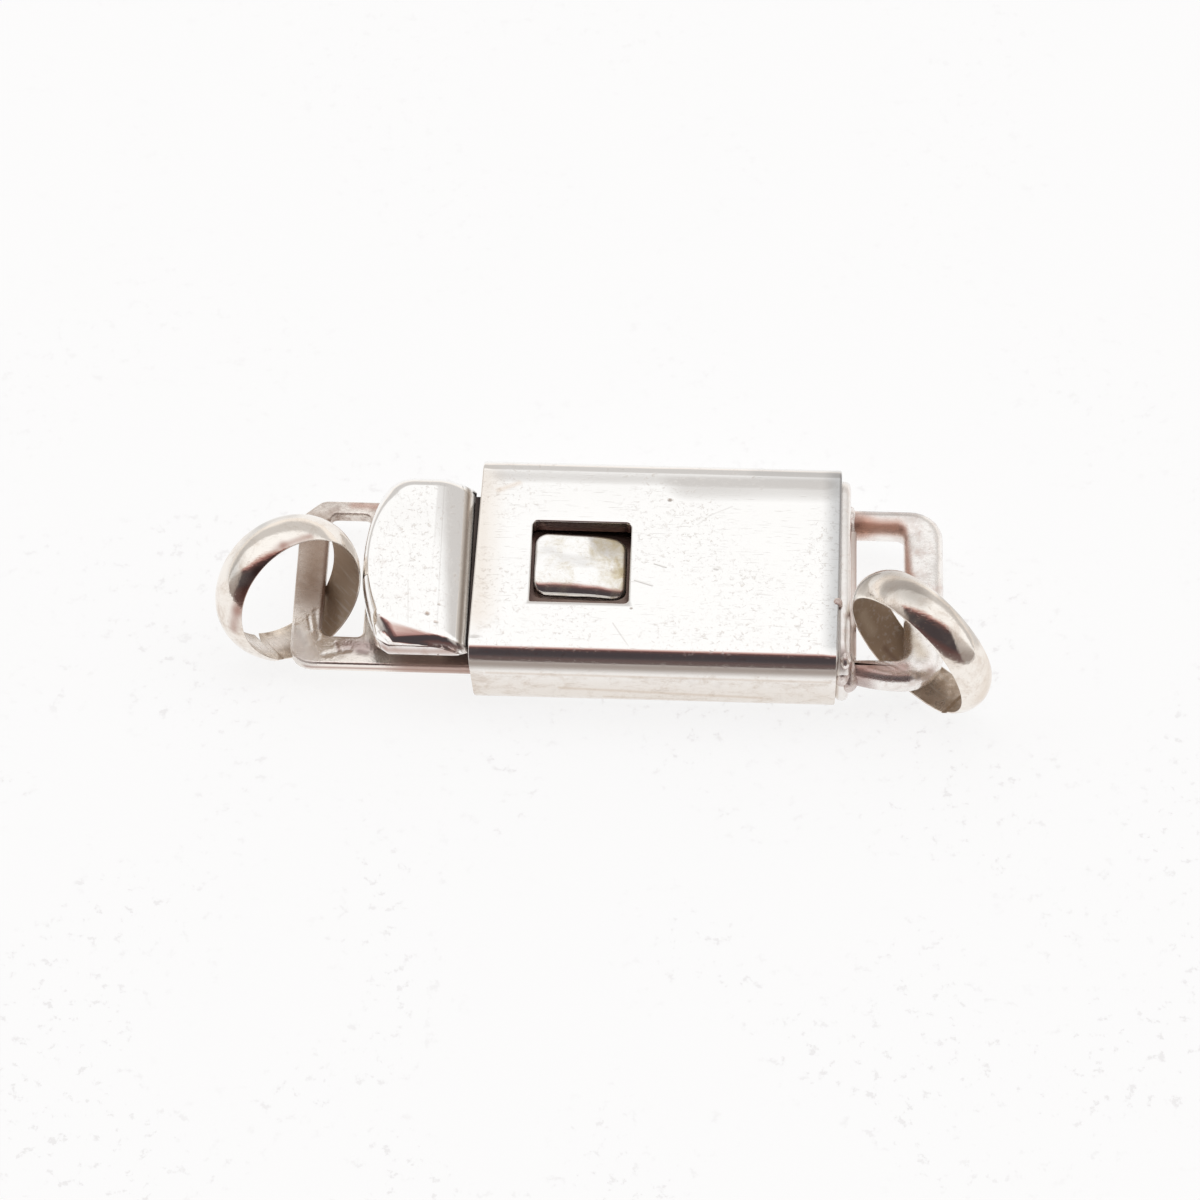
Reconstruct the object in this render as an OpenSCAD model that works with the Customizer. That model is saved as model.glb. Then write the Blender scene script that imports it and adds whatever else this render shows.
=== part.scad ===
// Box clasp: a flat tube case, a spring tongue that snaps into it, and a jump ring at each end.
// Sizes are in millimetres. X runs along the clasp, Y across it and Z up.
// The origin is the middle of the case's underside, which lies on the table.

/* [Case] */
// Length of the case's tube
case_l = 10.83; // [9:0.01:14]
// Width of the case
case_w = 7.6; // [6.3:0.01:9.5]
// Height of the case
case_h = 2.48; // [2.4:0.01:3.4]
// Thickness of the case's sheet
sheet_t = 0.5; // [0.42:0.01:0.6]
// Outer radius of the case's four long edges
edge_r = 0.65; // [0.6:0.01:0.8]
// How far the mouth's lower lip is set back from its upper lip
mouth_rake = 0.2; // [0.05:0.01:0.4]

/* [Window] */
// Distance of the window from the mouth
window_x = 1.6; // [1.2:0.01:2.2]
// Length of the window along the case
window_l = 2.98; // [2.4:0.01:3.7]
// Width of the window across the case
window_w = 3.04; // [2.4:0.01:3.7]
// How far the window's middle lies from the case's middle
window_y = -0.2; // [-0.3:0.01:0.3]
// Radius of the window's corners
window_r = 0.16; // [0.05:0.01:0.3]

/* [End plate] */
// Thickness of the plate soldered over the case's closed end
end_t = 0.4; // [0.3:0.01:0.6]
// How far the plate's outline lies inside the tube's
end_inset = 0.1; // [0.05:0.01:0.2]

/* [Right loop] */
// Diameter of the loop's wire
wire_d = 0.86; // [0.7:0.01:1.05]
// Reach of the loop beyond the end plate
loop_reach = 2.83; // [2.4:0.01:3.5]
// Distance of each arm's middle from the side of the case
loop_side = 0.975; // [0.9:0.01:1.2]
// Width of the loop's outer bar
loop_bar_w = 1.2; // [1:0.01:1.45]
// Radius of the wire's bends, at its middle
loop_bend_r = 0.57; // [0.5:0.01:0.7]
// Height of the loop's underside, over the ring that passes below it
loop_lift = 0.83; // [0.8:0.01:1]
// How far the loop's middle lies from the case's middle
loop_y = -0.43; // [-0.5:0.01:0.4]
// Thickness of the loop's foot against the end plate
loop_foot_t = 0.2; // [0.15:0.01:0.3]

/* [Tongue] */
// Thickness of the tongue's base plate
base_t = 0.4; // [0.35:0.01:0.42]
// Gap between the base plate and the floor of the case
floor_gap = 0.2; // [0.1:0.01:0.24]
// Play between the base plate and each side wall of the case
side_play = 0.2; // [0.15:0.01:0.3]
// How far the tongue lies to one side in the case
tongue_y = -0.14; // [-0.15:0.01:0.15]
// Gap between the left jump ring and the thumb tab, along the clasp
ring_tab_gap = 0.03; // [0.03:0.01:0.3]
// Width of the loop's crossbar
crossbar_w = 0.92; // [0.75:0.01:1]
// Length of the loop's hole along the tongue
eye_l = 1.24; // [1:0.01:1.3]
// Width of the loop's front arm
front_arm_w = 1.06; // [0.9:0.01:1.3]
// Width of the loop's back arm
back_arm_w = 0.52; // [0.4:0.01:0.7]
// Cut across the loop's outer back corner
corner_cut = 0.45; // [0.2:0.01:0.6]
// Rounding under the crossbar's edges
crossbar_r = 0.28; // [0.15:0.01:0.35]

/* [Nose] */
// Outer radius of the tongue's folded nose
nose_r = 0.67; // [0.66:0.01:0.7]
// Gap between the nose and the end plate
nose_gap = 0.15; // [0.1:0.01:0.3]
// Radius of the leaf's round end in the nose
knuckle_r = 0.26; // [0.2:0.01:0.3]
// Running gap around the leaf's round end
knuckle_gap = 0.04; // [0.02:0.01:0.06]

/* [Catch leaf] */
// Thickness of the spring leaf
leaf_t = 0.33; // [0.25:0.01:0.36]
// Gap between the leaf and the roof of the case
leaf_gap = 0.03; // [0.02:0.01:0.06]
// How far the leaf is narrower than the base plate, on each side
leaf_inset = 0.35; // [0.2:0.01:0.6]
// Gap between the lug's steep face and the window's edge
lug_gap = 0.08; // [0.06:0.01:0.15]
// Gap between the lug's other end and the window
lug_end_gap = 0.1; // [0.05:0.01:0.3]
// Gap between each side of the lug and the window
lug_side_gap = 0.39; // [0.2:0.01:0.6]
// Depth of the lug's top below the top of the case
lug_depth = 0.18; // [0.1:0.01:0.3]
// Length of the ramp at the lug's far end
lug_ramp = 0.9; // [0.5:0.01:1.2]
// Drop of that ramp
lug_drop = 0.22; // [0.1:0.01:0.3]
// Lean and edge of the lug's steep face
lug_lean = 0.06; // [0.02:0.01:0.12]

/* [Thumb tab] */
// Height of the tab's top above the top of the case
tab_rise = 0.02; // [-0.05:0.01:0.1]
// Reach of the tab beyond the mouth
tab_reach = 3.5; // [3:0.01:3.8]
// Gap between the tab and the mouth
tab_gap = 0.2; // [0.12:0.01:0.4]
// Inset of the tab from each side of the case
tab_inset = 0.6; // [0.4:0.01:0.8]
// Radius of the tab's round outer edge
tab_round = 6.8; // [5:0.1:9]
// Radius of the tab's corners
tab_corner_r = 0.8; // [0.6:0.01:1.2]
// Thickness of the tab's sheet
tab_t = 0.4; // [0.3:0.01:0.45]
// Depth of the tab's turned-down sides below its top
tab_skirt = 0.7; // [0.6:0.01:0.75]
// Length of the slope from the tab's top down to the leaf
tab_slope_l = 0.75; // [0.5:0.01:1]

/* [Jump rings] */
// Inner radius of the left ring
left_in_r = 2.02; // [1.95:0.01:2.4]
// Thickness of the left ring's wire
left_t = 0.32; // [0.25:0.01:0.34]
// Width of the left ring's wire
left_w = 1.6; // [1.2:0.01:1.65]
// Angle of the left ring's cut
left_cut = 6; // [4:0.5:14]
// Inner radius of the right ring
right_in_r = 2.22; // [2.15:0.01:2.6]
// Thickness of the right ring's wire
right_t = 0.32; // [0.25:0.01:0.34]
// Width of the right ring's wire
right_w = 1.35; // [1.1:0.01:1.4]
// Angle of the right ring's cut
right_cut = 5; // [4:0.5:14]

/* [Hidden] */
$fn = 96;

// A small overlap that joins the parts of one solid
bite = 0.02;
// How far a cutting shape runs past what it cuts
past = 1;
// Facets around the rings and the tab's outline
fine_fn = 180;
// Silver, and the darker silver of worn or tarnished pieces
silver = [0.86, 0.85, 0.83];
dull_silver = [0.62, 0.58, 0.53];

// The ends, the roof and the floor of the case
mouth_x = -case_l / 2;
end_x = case_l / 2;
roof_z = case_h - sheet_t;

// The right loop, worked out from the end plate and the sides of the case
plate_x = end_x + end_t;
wire_r = wire_d / 2;
bar_flat_share = 0.94;
foot_share = 0.7;
bar_flat_h = wire_d * bar_flat_share;
loop_z = loop_lift + bar_flat_h / 2;
loop_bar_x = plate_x + loop_reach - wire_r;
loop_mid_x = plate_x + loop_reach - loop_bar_w / 2;
loop_half = case_w / 2 - loop_side;

// Where each ring's wire passes under its loop: across the loop's bar and along it
left_under = [-0.238, 1.506];
right_under = [0.1, 0.61];
// Each ring's lean from upright, its heading, and where its cut is, from its lowest point
left_pose = [14.7, -54.3];
right_pose = [-8.8, -133.7];
left_cut_at = -32;
right_cut_at = 40;

// How far the left ring reaches towards the tab from its lowest point
left_lean_x = sin(left_pose[0]) * cos(left_pose[1]);
left_turn_x = sqrt(sin(left_pose[1]) * sin(left_pose[1]) + left_lean_x * left_lean_x);
left_rim_x = left_in_r * (left_turn_x - left_lean_x) + left_w / 2 * cos(left_pose[0]) * cos(left_pose[1]);
left_dome_x = (left_in_r + left_t) * left_turn_x - left_in_r * left_lean_x;
left_span = max(left_rim_x, left_dome_x);
// Reach of the tongue's own loop beyond the mouth, so that the ring clears the tab
tongue_reach = tab_reach + ring_tab_gap + left_span + left_under[0] + crossbar_w / 2;

// The tongue's base plate and the loop at its outer end
base_z = sheet_t + floor_gap;
base_top = base_z + base_t;
base_w = case_w - 2 * sheet_t - 2 * side_play;
base_front = tongue_y - base_w / 2;
eye_x = mouth_x - tongue_reach + crossbar_w;

// The nose, where the leaf turns
fold_x = end_x - nose_gap - nose_r;
fold_z = base_z + nose_r;

// The leaf slopes from the nose up to just under the roof at the mouth
leaf_w = base_w - 2 * leaf_inset;
leaf_mouth_z = roof_z - leaf_gap - leaf_t / 2;
leaf_slope = (leaf_mouth_z - fold_z) / (fold_x - mouth_x);
function leaf_mid(x) = fold_z + (fold_x - x) * leaf_slope;

// The lug in the window
lug_x = mouth_x + window_x + lug_gap;
lug_l = window_l - lug_gap - lug_end_gap;
lug_w = window_w - 2 * lug_side_gap;
lug_top = case_h - lug_depth;

// The thumb tab outside the mouth
tab_top = case_h + tab_rise;
tab_w = case_w - 2 * tab_inset;
tab_l = tab_reach - tab_gap;

// A round-cornered outline as a plate lying in Y and Z, with its underside at z = 0
module round_bar(l, w, h, r) {
    rotate([90, 0, 90])
        linear_extrude(height = l)
            union() {
                translate([-w / 2 + r, 0]) square([w - 2 * r, h]);
                translate([-w / 2, r]) square([w, h - 2 * r]);
                for (y = [-1, 1], z = [r, h - r])
                    translate([y * (w / 2 - r), z]) circle(r = r);
            }
}

// The window's outline, square at its front left corner as on the real case
module window_cut() {
    translate([mouth_x + window_x, window_y - window_w / 2, roof_z - sheet_t])
        linear_extrude(height = 3 * sheet_t)
            union() {
                translate([0, window_r]) square([window_l, window_w - 2 * window_r]);
                translate([window_r, 0]) square([window_l - 2 * window_r, window_w]);
                square([2 * window_r, 2 * window_r]);
                translate([window_r, window_w - window_r]) circle(r = window_r);
                translate([window_l - window_r, window_w - window_r]) circle(r = window_r);
                translate([window_l - window_r, window_r]) circle(r = window_r);
            }
}

// The wedge filed off the mouth, so that the lower lip is set back
module mouth_cut() {
    translate([0, case_w, 0])
        rotate([90, 0, 0])
            linear_extrude(height = 2 * case_w)
                polygon([
                    [mouth_x - past, -past],
                    [mouth_x + mouth_rake * (case_h + past) / case_h, -past],
                    [mouth_x, case_h],
                    [mouth_x - past, case_h]
                ]);
}

// The wire loop at the closed end: two arms, two bends and a wider outer bar
module wire_loop() {
    arm_l = loop_bar_x - loop_bend_r - plate_x + bite;
    bar_l = 2 * (loop_half - loop_bend_r);
    translate([0, loop_y, loop_z]) {
        for (side = [-1, 1]) {
            translate([plate_x - bite, side * loop_half, 0])
                rotate([0, 90, 0])
                    cylinder(r = wire_r, h = arm_l);
            translate([loop_bar_x - loop_bend_r, side * (loop_half - loop_bend_r), 0])
                rotate([0, 0, side > 0 ? 0 : -90])
                    rotate_extrude(angle = 90)
                        translate([loop_bend_r, 0]) circle(r = wire_r);
        }
        translate([loop_bar_x, bar_l / 2, 0])
            rotate([90, 0, 0])
                cylinder(r = wire_r, h = bar_l);
        wide_x = loop_bar_x - loop_bar_w + wire_d;
        wide_l = 2 * loop_half;
        translate([wide_x, wide_l / 2, 0])
            rotate([90, 0, 0])
                cylinder(r = wire_r, h = wide_l);
        translate([wide_x, -bar_l / 2, -bar_flat_h / 2])
            cube([loop_bar_x - wide_x, bar_l, bar_flat_h]);
        foot_h = wire_d * foot_share;
        translate([plate_x - bite, -loop_half, -foot_h / 2])
            cube([loop_foot_t + bite, 2 * loop_half, foot_h]);
    }
}

module case() {
    color(silver)
        union() {
            difference() {
                translate([mouth_x, 0, 0]) round_bar(case_l, case_w, case_h, edge_r);
                translate([mouth_x - past, 0, sheet_t])
                    round_bar(case_l + 2 * past, case_w - 2 * sheet_t, case_h - 2 * sheet_t,
                        edge_r - sheet_t);
                window_cut();
                mouth_cut();
            }
            translate([end_x - bite, 0, end_inset])
                round_bar(end_t + bite, case_w - 2 * end_inset, case_h - 2 * end_inset, edge_r - end_inset);
            wire_loop();
        }
}

// What is taken off one lower edge of the crossbar, from y_low to y_high, to leave it round
module edge_relief(x, into, y_low, y_high) {
    translate([x, y_high, base_z])
        mirror([into < 0 ? 1 : 0, 0, 0])
            rotate([90, 0, 0])
                difference() {
                    translate([-bite, -past, 0])
                        cube([bite + crossbar_r, past + crossbar_r, y_high - y_low]);
                    translate([crossbar_r, crossbar_r, -past])
                        cylinder(r = crossbar_r, h = y_high - y_low + 2 * past);
                }
}

// The nose wraps the leaf's round end from behind and below, and ends under the roof's bend
module nose_limits() {
    nose_top = roof_z - (edge_r - sheet_t);
    translate([fold_x, base_front, base_z])
        cube([nose_r, base_w, nose_top - base_z]);
    translate([fold_x - nose_r, base_front, base_z])
        cube([2 * nose_r, base_w, base_t]);
}

// The flat plate with its loop, then the nose that turns back over the leaf's end
module tongue() {
    reach_x = mouth_x - tongue_reach;
    eye_w = base_w - front_arm_w - back_arm_w;
    color(dull_silver)
        difference() {
            union() {
                translate([reach_x, base_front, base_z])
                    cube([fold_x - reach_x, base_w, base_t]);
                intersection() {
                    translate([fold_x, base_front + base_w, fold_z])
                        rotate([90, 0, 0])
                            cylinder(r = nose_r, h = base_w);
                    nose_limits();
                }
            }
            translate([eye_x, base_front + front_arm_w, base_z - past])
                cube([eye_l, eye_w, base_t + 2 * past]);
            translate([reach_x, base_front + base_w, base_z - past])
                rotate([0, 0, 45])
                    translate([-corner_cut, -corner_cut, 0])
                        cube([2 * corner_cut, 2 * corner_cut, base_t + 2 * past]);
            edge_relief(reach_x, 1, base_front - past, base_front + base_w + past);
            edge_relief(eye_x, -1, base_front + front_arm_w, base_front + front_arm_w + eye_w);
            translate([fold_x, base_front + base_w + past, fold_z])
                rotate([90, 0, 0])
                    cylinder(r = knuckle_r + knuckle_gap, h = base_w + 2 * past);
        }
}

// The lug: steep towards the mouth, level with the leaf on top, with a ramp at its far end
module lug() {
    root_z = leaf_mid(lug_x + lug_l);
    flat_l = lug_l - lug_ramp;
    flat_z = lug_top - (flat_l - lug_lean) * leaf_slope;
    translate([0, window_y + lug_w / 2, 0])
        rotate([90, 0, 0])
            linear_extrude(height = lug_w)
                polygon([
                    [lug_x + lug_lean, root_z],
                    [lug_x, lug_top - lug_lean],
                    [lug_x + lug_lean, lug_top],
                    [lug_x + flat_l, flat_z],
                    [lug_x + lug_l, flat_z - lug_drop],
                    [lug_x + lug_l, root_z]
                ]);
}

// The thumb tab: a shallow cap with a round outer edge and a slope down to the leaf
module thumb_tab() {
    tab_x = mouth_x - tab_reach;
    skirt_z = tab_top - tab_skirt;
    slope_x = mouth_x - tab_gap - tab_slope_l;
    neck_z = leaf_mid(mouth_x) + leaf_t / 2;
    intersection() {
        difference() {
            translate([tab_x, tongue_y, tab_top - 2 * edge_r])
                round_bar(tab_l, tab_w, 2 * edge_r, edge_r - bite);
            translate([tab_x - past, tongue_y, tab_top - tab_t - 2 * edge_r])
                round_bar(slope_x - tab_x + past, tab_w - 2 * tab_t, 2 * edge_r, edge_r - tab_t);
        }
        translate([tab_x, tongue_y - tab_w / 2, skirt_z])
            linear_extrude(height = tab_skirt + past)
                union() {
                    translate([tab_corner_r, 0]) square([tab_l - tab_corner_r, tab_w]);
                    translate([0, tab_corner_r]) square([tab_l, tab_w - 2 * tab_corner_r]);
                    for (y = [tab_corner_r, tab_w - tab_corner_r])
                        translate([tab_corner_r, y]) circle(r = tab_corner_r);
                }
        translate([tab_x + tab_round, tongue_y, skirt_z - past])
            cylinder(r = tab_round, h = tab_skirt + 2 * past, $fn = fine_fn);
        translate([0, tongue_y + tab_w, 0])
            rotate([90, 0, 0])
                linear_extrude(height = 2 * tab_w)
                    polygon([
                        [tab_x - past, skirt_z - past],
                        [mouth_x - tab_gap + bite, skirt_z - past],
                        [mouth_x - tab_gap + bite, neck_z],
                        [slope_x, tab_top + bite],
                        [tab_x - past, tab_top + bite]
                    ]);
    }
}

module catch_leaf() {
    tip_x = mouth_x - tab_gap - tab_slope_l;
    color(silver)
        union() {
            translate([0, tongue_y + leaf_w / 2, 0])
                rotate([90, 0, 0])
                    linear_extrude(height = leaf_w)
                        polygon([
                            [tip_x, leaf_mid(mouth_x) - leaf_t / 2],
                            [mouth_x, leaf_mid(mouth_x) - leaf_t / 2],
                            [fold_x, fold_z - leaf_t / 2],
                            [fold_x, fold_z + leaf_t / 2],
                            [mouth_x, leaf_mid(mouth_x) + leaf_t / 2],
                            [tip_x, leaf_mid(mouth_x) + leaf_t / 2]
                        ]);
            translate([fold_x, tongue_y + leaf_w / 2, fold_z])
                rotate([90, 0, 0])
                    cylinder(r = knuckle_r, h = leaf_w);
            lug();
            thumb_tab();
        }
}

// A jump ring of half-round wire, flat inside and domed outside, cut through at one place.
// It stands on z = 0 with its wire's lowest inner point over the given point.
module jump_ring(at, in_r, w, t, lean, heading, cut, cut_at) {
    dome_r = (w * w / 4 + t * t) / (2 * t);
    lift = dome_r - (dome_r - t) * cos(lean);
    translate([at[0], at[1], lift])
        rotate([0, 90 - lean, heading])
            translate([-in_r, 0, 0])
                rotate([0, 0, cut_at + cut / 2])
                    rotate_extrude(angle = 360 - cut, $fn = fine_fn)
                        intersection() {
                            translate([in_r + t - dome_r, 0]) circle(r = dome_r);
                            translate([in_r, -w]) square([2 * t, 2 * w]);
                        }
}

module left_ring() {
    crossbar_x = eye_x - crossbar_w / 2;
    color(silver)
        jump_ring([crossbar_x + left_under[0], base_front + left_under[1]],
            left_in_r, left_w, left_t, left_pose[0], left_pose[1], left_cut, left_cut_at);
}

module right_ring() {
    color(silver)
        jump_ring([loop_mid_x + right_under[0], loop_y - loop_half + right_under[1]],
            right_in_r, right_w, right_t, right_pose[0], right_pose[1], right_cut, right_cut_at);
}

case();
tongue();
catch_leaf();
left_ring();
right_ring();
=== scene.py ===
# %% [markdown]
# # A silver box clasp, finished in Blender
# The clasp comes in from the CAD as plain solids that are already the right size and in the right place.
# This lesson builds the pieces that are seen, with the soft edges, solder and wear of a clasp that has
# been worn. Sizes are thought of in millimetres, as a silversmith would, and each piece is scaled to
# Blender's metres when it is finished.

# %% Open the frame
import math
import bmesh
import bpy
from mathutils import Matrix, Vector, noise


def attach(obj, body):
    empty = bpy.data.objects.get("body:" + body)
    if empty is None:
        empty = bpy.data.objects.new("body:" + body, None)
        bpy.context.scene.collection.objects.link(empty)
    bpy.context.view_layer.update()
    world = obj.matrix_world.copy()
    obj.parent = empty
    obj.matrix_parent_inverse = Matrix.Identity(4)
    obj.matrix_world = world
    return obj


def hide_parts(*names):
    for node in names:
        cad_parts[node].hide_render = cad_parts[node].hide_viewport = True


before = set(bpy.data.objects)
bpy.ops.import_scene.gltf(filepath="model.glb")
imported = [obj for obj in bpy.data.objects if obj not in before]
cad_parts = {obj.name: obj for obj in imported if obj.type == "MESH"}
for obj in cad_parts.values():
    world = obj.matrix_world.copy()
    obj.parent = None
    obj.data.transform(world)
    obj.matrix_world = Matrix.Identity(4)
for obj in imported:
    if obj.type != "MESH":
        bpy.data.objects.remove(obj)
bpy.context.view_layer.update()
scene = bpy.context.scene
MM = 0.001

# %% [markdown]
# ## Camera
# The photograph looks down on the clasp at 53 degrees from a little to one side, through a long lens. The
# camera could be aimed with a constraint, but its own three axes are written out here, because then it
# stands exactly where the measured view says. The picture's middle lies a little to one side of the clasp,
# so the camera is stepped sideways and down, and needs no lens shift.

# %% Camera
LOOK_DOWN = math.radians(53.04)
LOOK_TURN = math.radians(1.83)
LOOK_ROLL = math.radians(0.053)
CAMERA_FAR = 155.2
SENSOR_WIDE = 36.0
LENS_LONG = 153.65
CLIP = (0.005, 20.0)
AIM = Vector((0.035, 0.0, 1.2))
STEP_SIDE = -1.779
STEP_UP = -0.4875
turn = Matrix.Rotation(LOOK_TURN, 3, "Z")
back_axis = turn @ Vector((0, -math.cos(LOOK_DOWN), math.sin(LOOK_DOWN)))
flat_right = turn @ Vector((1, 0, 0))
flat_up = turn @ Vector((0, math.sin(LOOK_DOWN), math.cos(LOOK_DOWN)))
right_axis = math.cos(LOOK_ROLL) * flat_right + math.sin(LOOK_ROLL) * flat_up
up_axis = math.cos(LOOK_ROLL) * flat_up - math.sin(LOOK_ROLL) * flat_right
place = AIM + CAMERA_FAR * back_axis + STEP_SIDE * flat_right + STEP_UP * flat_up
camera_data = bpy.data.cameras.new("camera")
camera_data.sensor_width = SENSOR_WIDE
camera_data.lens = LENS_LONG
camera_data.clip_start, camera_data.clip_end = CLIP
camera = bpy.data.objects.new("camera", camera_data)
scene.collection.objects.link(camera)
pose = Matrix((right_axis, up_axis, back_axis)).transposed().to_4x4()
camera.matrix_world = Matrix.Translation(place * MM) @ pose
scene.camera = camera
scene.view_settings.view_transform = "Standard"
print("camera", [round(c, 4) for c in camera.location])

# %% [markdown]
# ## A short way to write shader nodes
# A shader is a net of small nodes. A few helpers keep the recipes short: they add a node and set its inputs,
# do a sum with numbers or with vectors, make a smooth step, draw a noise, blend two colours by a mask, run
# through a row of colours, and say where on the piece a point is, in millimetres. The last one starts an
# empty material.

# %% Node helpers
def node(tree, kind, inputs=None, **settings):
    made = tree.nodes.new(kind)
    for name, value in settings.items():
        setattr(made, name, value)
    for key, value in (inputs or {}).items():
        socket = made.inputs[key]
        if isinstance(value, bpy.types.NodeSocket):
            tree.links.new(value, socket)
        else:
            socket.default_value = value
    return made


def sum_of(tree, operation, *values, clamp=False):
    made = node(tree, "ShaderNodeMath", dict(enumerate(values)), operation=operation, use_clamp=clamp)
    return made.outputs[0]


def vector_sum(tree, operation, first, second):
    made = node(tree, "ShaderNodeVectorMath", {0: first, 1: second}, operation=operation)
    return made.outputs["Value" if operation in ("DOT_PRODUCT", "DISTANCE") else "Vector"]


def step_between(tree, value, low, high):
    made = node(tree, "ShaderNodeMapRange", {"Value": value, "From Min": low, "From Max": high},
                interpolation_type="SMOOTHSTEP")
    return made.outputs["Result"]


def noise_map(tree, place, scale, detail, roughness=0.5, distortion=0.0):
    made = node(tree, "ShaderNodeTexNoise", {"Vector": place, "Scale": scale, "Detail": detail,
                                             "Roughness": roughness, "Distortion": distortion})
    return made.outputs["Fac"]


def colour_mix(tree, mask, first, second, way="MIX"):
    first, second = [(*c, 1.0) if isinstance(c, tuple) else c for c in (first, second)]
    made = node(tree, "ShaderNodeMix", {0: mask, 6: first, 7: second}, data_type="RGBA", blend_type=way)
    return made.outputs[2]


def colour_ramp(tree, value, stops):
    made = node(tree, "ShaderNodeValToRGB", {"Fac": value})
    ramp = made.color_ramp
    while len(ramp.elements) < len(stops):
        ramp.elements.new(0.5)
    for element, (at, colour) in zip(ramp.elements, stops):
        element.position = at
        element.color = (*colour, 1.0)
    return made.outputs["Color"]


def place_in_mm(tree):
    coords = node(tree, "ShaderNodeTexCoord").outputs["Object"]
    return node(tree, "ShaderNodeMapping", {"Vector": coords, "Scale": (1 / MM, 1 / MM, 1 / MM)}).outputs[0]


def new_look(name):
    made = bpy.data.materials.new(name)
    made.use_nodes = True
    made.node_tree.nodes.clear()
    return made, made.node_tree


print("node helpers ready")

# %% [markdown]
# ## Studio light
# Polished silver shows its surroundings more than itself, so the room matters as much as the metal. The
# photograph's reflections say what the room was: a white tent overhead and behind, a dark opening in front
# where the camera was, with a warm edge to it, and a grey strip low at the back. The sky here is painted
# by direction in the same way. One wide soft lamp overhead helps to light the paper.

# %% Sky by direction
TENT = (1.0, 1.0, 1.0)
LOW_BACK = (0.62, 0.60, 0.585)
OPENING = (0.062, 0.050, 0.053)
WARM_GLOOM = (0.115, 0.062, 0.058)
WARM_EDGE = (0.42, 0.22, 0.20)
PALE_EDGE = (0.68, 0.50, 0.45)
LOW_FRONT = (0.30, 0.25, 0.23)
SIDES = (0.66, 0.62, 0.59)
LOW_SIDES = (0.34, 0.30, 0.28)
FAR_BACK = (0.95, 0.90, 0.85)
OPENING_RIGHT = (39, 31)
OPENING_LEFT = (-62, -52)
SKY_STRENGTH = 1.06
world = bpy.data.worlds.new("studio")
world.use_nodes = True
scene.world = world
sky = world.node_tree
sky.nodes.clear()
way = node(sky, "ShaderNodeSeparateXYZ", {0: node(sky, "ShaderNodeTexCoord").outputs["Generated"]})
ahead = sum_of(sky, "MULTIPLY", way.outputs["Y"], -1.0)
climb = sum_of(sky, "ARCTAN2", way.outputs["Z"], ahead)
climb = sum_of(sky, "DIVIDE", climb, math.pi, clamp=True)
middle = colour_ramp(sky, climb, [
    (0.0, LOW_FRONT), (0.04, (0.15, 0.10, 0.095)), (0.10, WARM_GLOOM), (0.18, OPENING), (0.33, OPENING),
    (0.395, WARM_GLOOM), (0.42, WARM_EDGE), (0.445, PALE_EDGE), (0.48, TENT), (0.712, TENT),
    (0.755, LOW_BACK), (0.90, LOW_BACK), (0.95, FAR_BACK)])
edges = colour_ramp(sky, climb, [
    (0.0, LOW_SIDES), (0.12, LOW_SIDES), (0.40, SIDES), (0.50, TENT), (0.70, TENT), (0.76, LOW_BACK),
    (0.88, LOW_BACK), (0.94, FAR_BACK)])
aside = sum_of(sky, "ARCSINE", way.outputs["X"])
inside = sum_of(sky, "MULTIPLY", *(step_between(sky, aside, math.radians(outer), math.radians(inner))
                                   for outer, inner in (OPENING_RIGHT, OPENING_LEFT)))
glow = node(sky, "ShaderNodeBackground", {"Color": colour_mix(sky, inside, edges, middle),
                                          "Strength": SKY_STRENGTH})
node(sky, "ShaderNodeOutputWorld", {"Surface": glow.outputs[0]})
print("sky nodes", len(sky.nodes))

# %% Soft lamp
LAMP_AT = (0.05, 0.1, 0.55)
LAMP_WIDE = 0.7
LAMP_WATTS = 0.35
lamp_data = bpy.data.lights.new("soft_lamp", "AREA")
lamp_data.shape = "DISK"
lamp_data.size = LAMP_WIDE
lamp_data.energy = LAMP_WATTS
lamp = bpy.data.objects.new("soft_lamp", lamp_data)
lamp.location = LAMP_AT
lamp.visible_glossy = False
scene.collection.objects.link(lamp)
print("lamp", lamp_data.size, "m wide")

# %% [markdown]
# ## Paper
# The clasp lies on bright white paper with a faint grain. The paper partly glows, as thin paper over a
# lit table does, and so its shadows are nearly gone. Its grey specks are the peaks of a fine noise. A second,
# slower noise keeps them in patches, and they are stronger toward the viewer.

# %% Paper
PAPER_HALF = 1.5
PAPER_WHITE = (0.955, 0.955, 0.955)
PAPER_SPECK = (0.80, 0.785, 0.785)
PAPER_SHADE = (0.22, 0.22, 0.22)
PAPER_GLOW = 0.86
SPECK_FAR_Y, SPECK_NEAR_Y = 14.0, -8.0
paper_mesh = bpy.data.meshes.new("paper")
sheet = bmesh.new()
bmesh.ops.create_grid(sheet, x_segments=1, y_segments=1, size=PAPER_HALF)
sheet.to_mesh(paper_mesh)
sheet.free()
paper = bpy.data.objects.new("paper", paper_mesh)
scene.collection.objects.link(paper)
paper_look, net = new_look("paper")
spot = place_in_mm(net)
grain = noise_map(net, spot, 2.2, 4.0, 0.7)
patch = noise_map(net, spot, 0.16, 2.0)
specks = step_between(net, grain, 0.57, 0.66)
specks = sum_of(net, "MULTIPLY", specks, step_between(net, patch, 0.40, 0.62))
depth = node(net, "ShaderNodeSeparateXYZ", {0: spot}).outputs["Y"]
near = step_between(net, depth, SPECK_FAR_Y, SPECK_NEAR_Y)
specks = sum_of(net, "MULTIPLY", specks, sum_of(net, "MULTIPLY_ADD", near, 0.5, 0.2))
white = colour_mix(net, specks, PAPER_WHITE, PAPER_SPECK)
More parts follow.
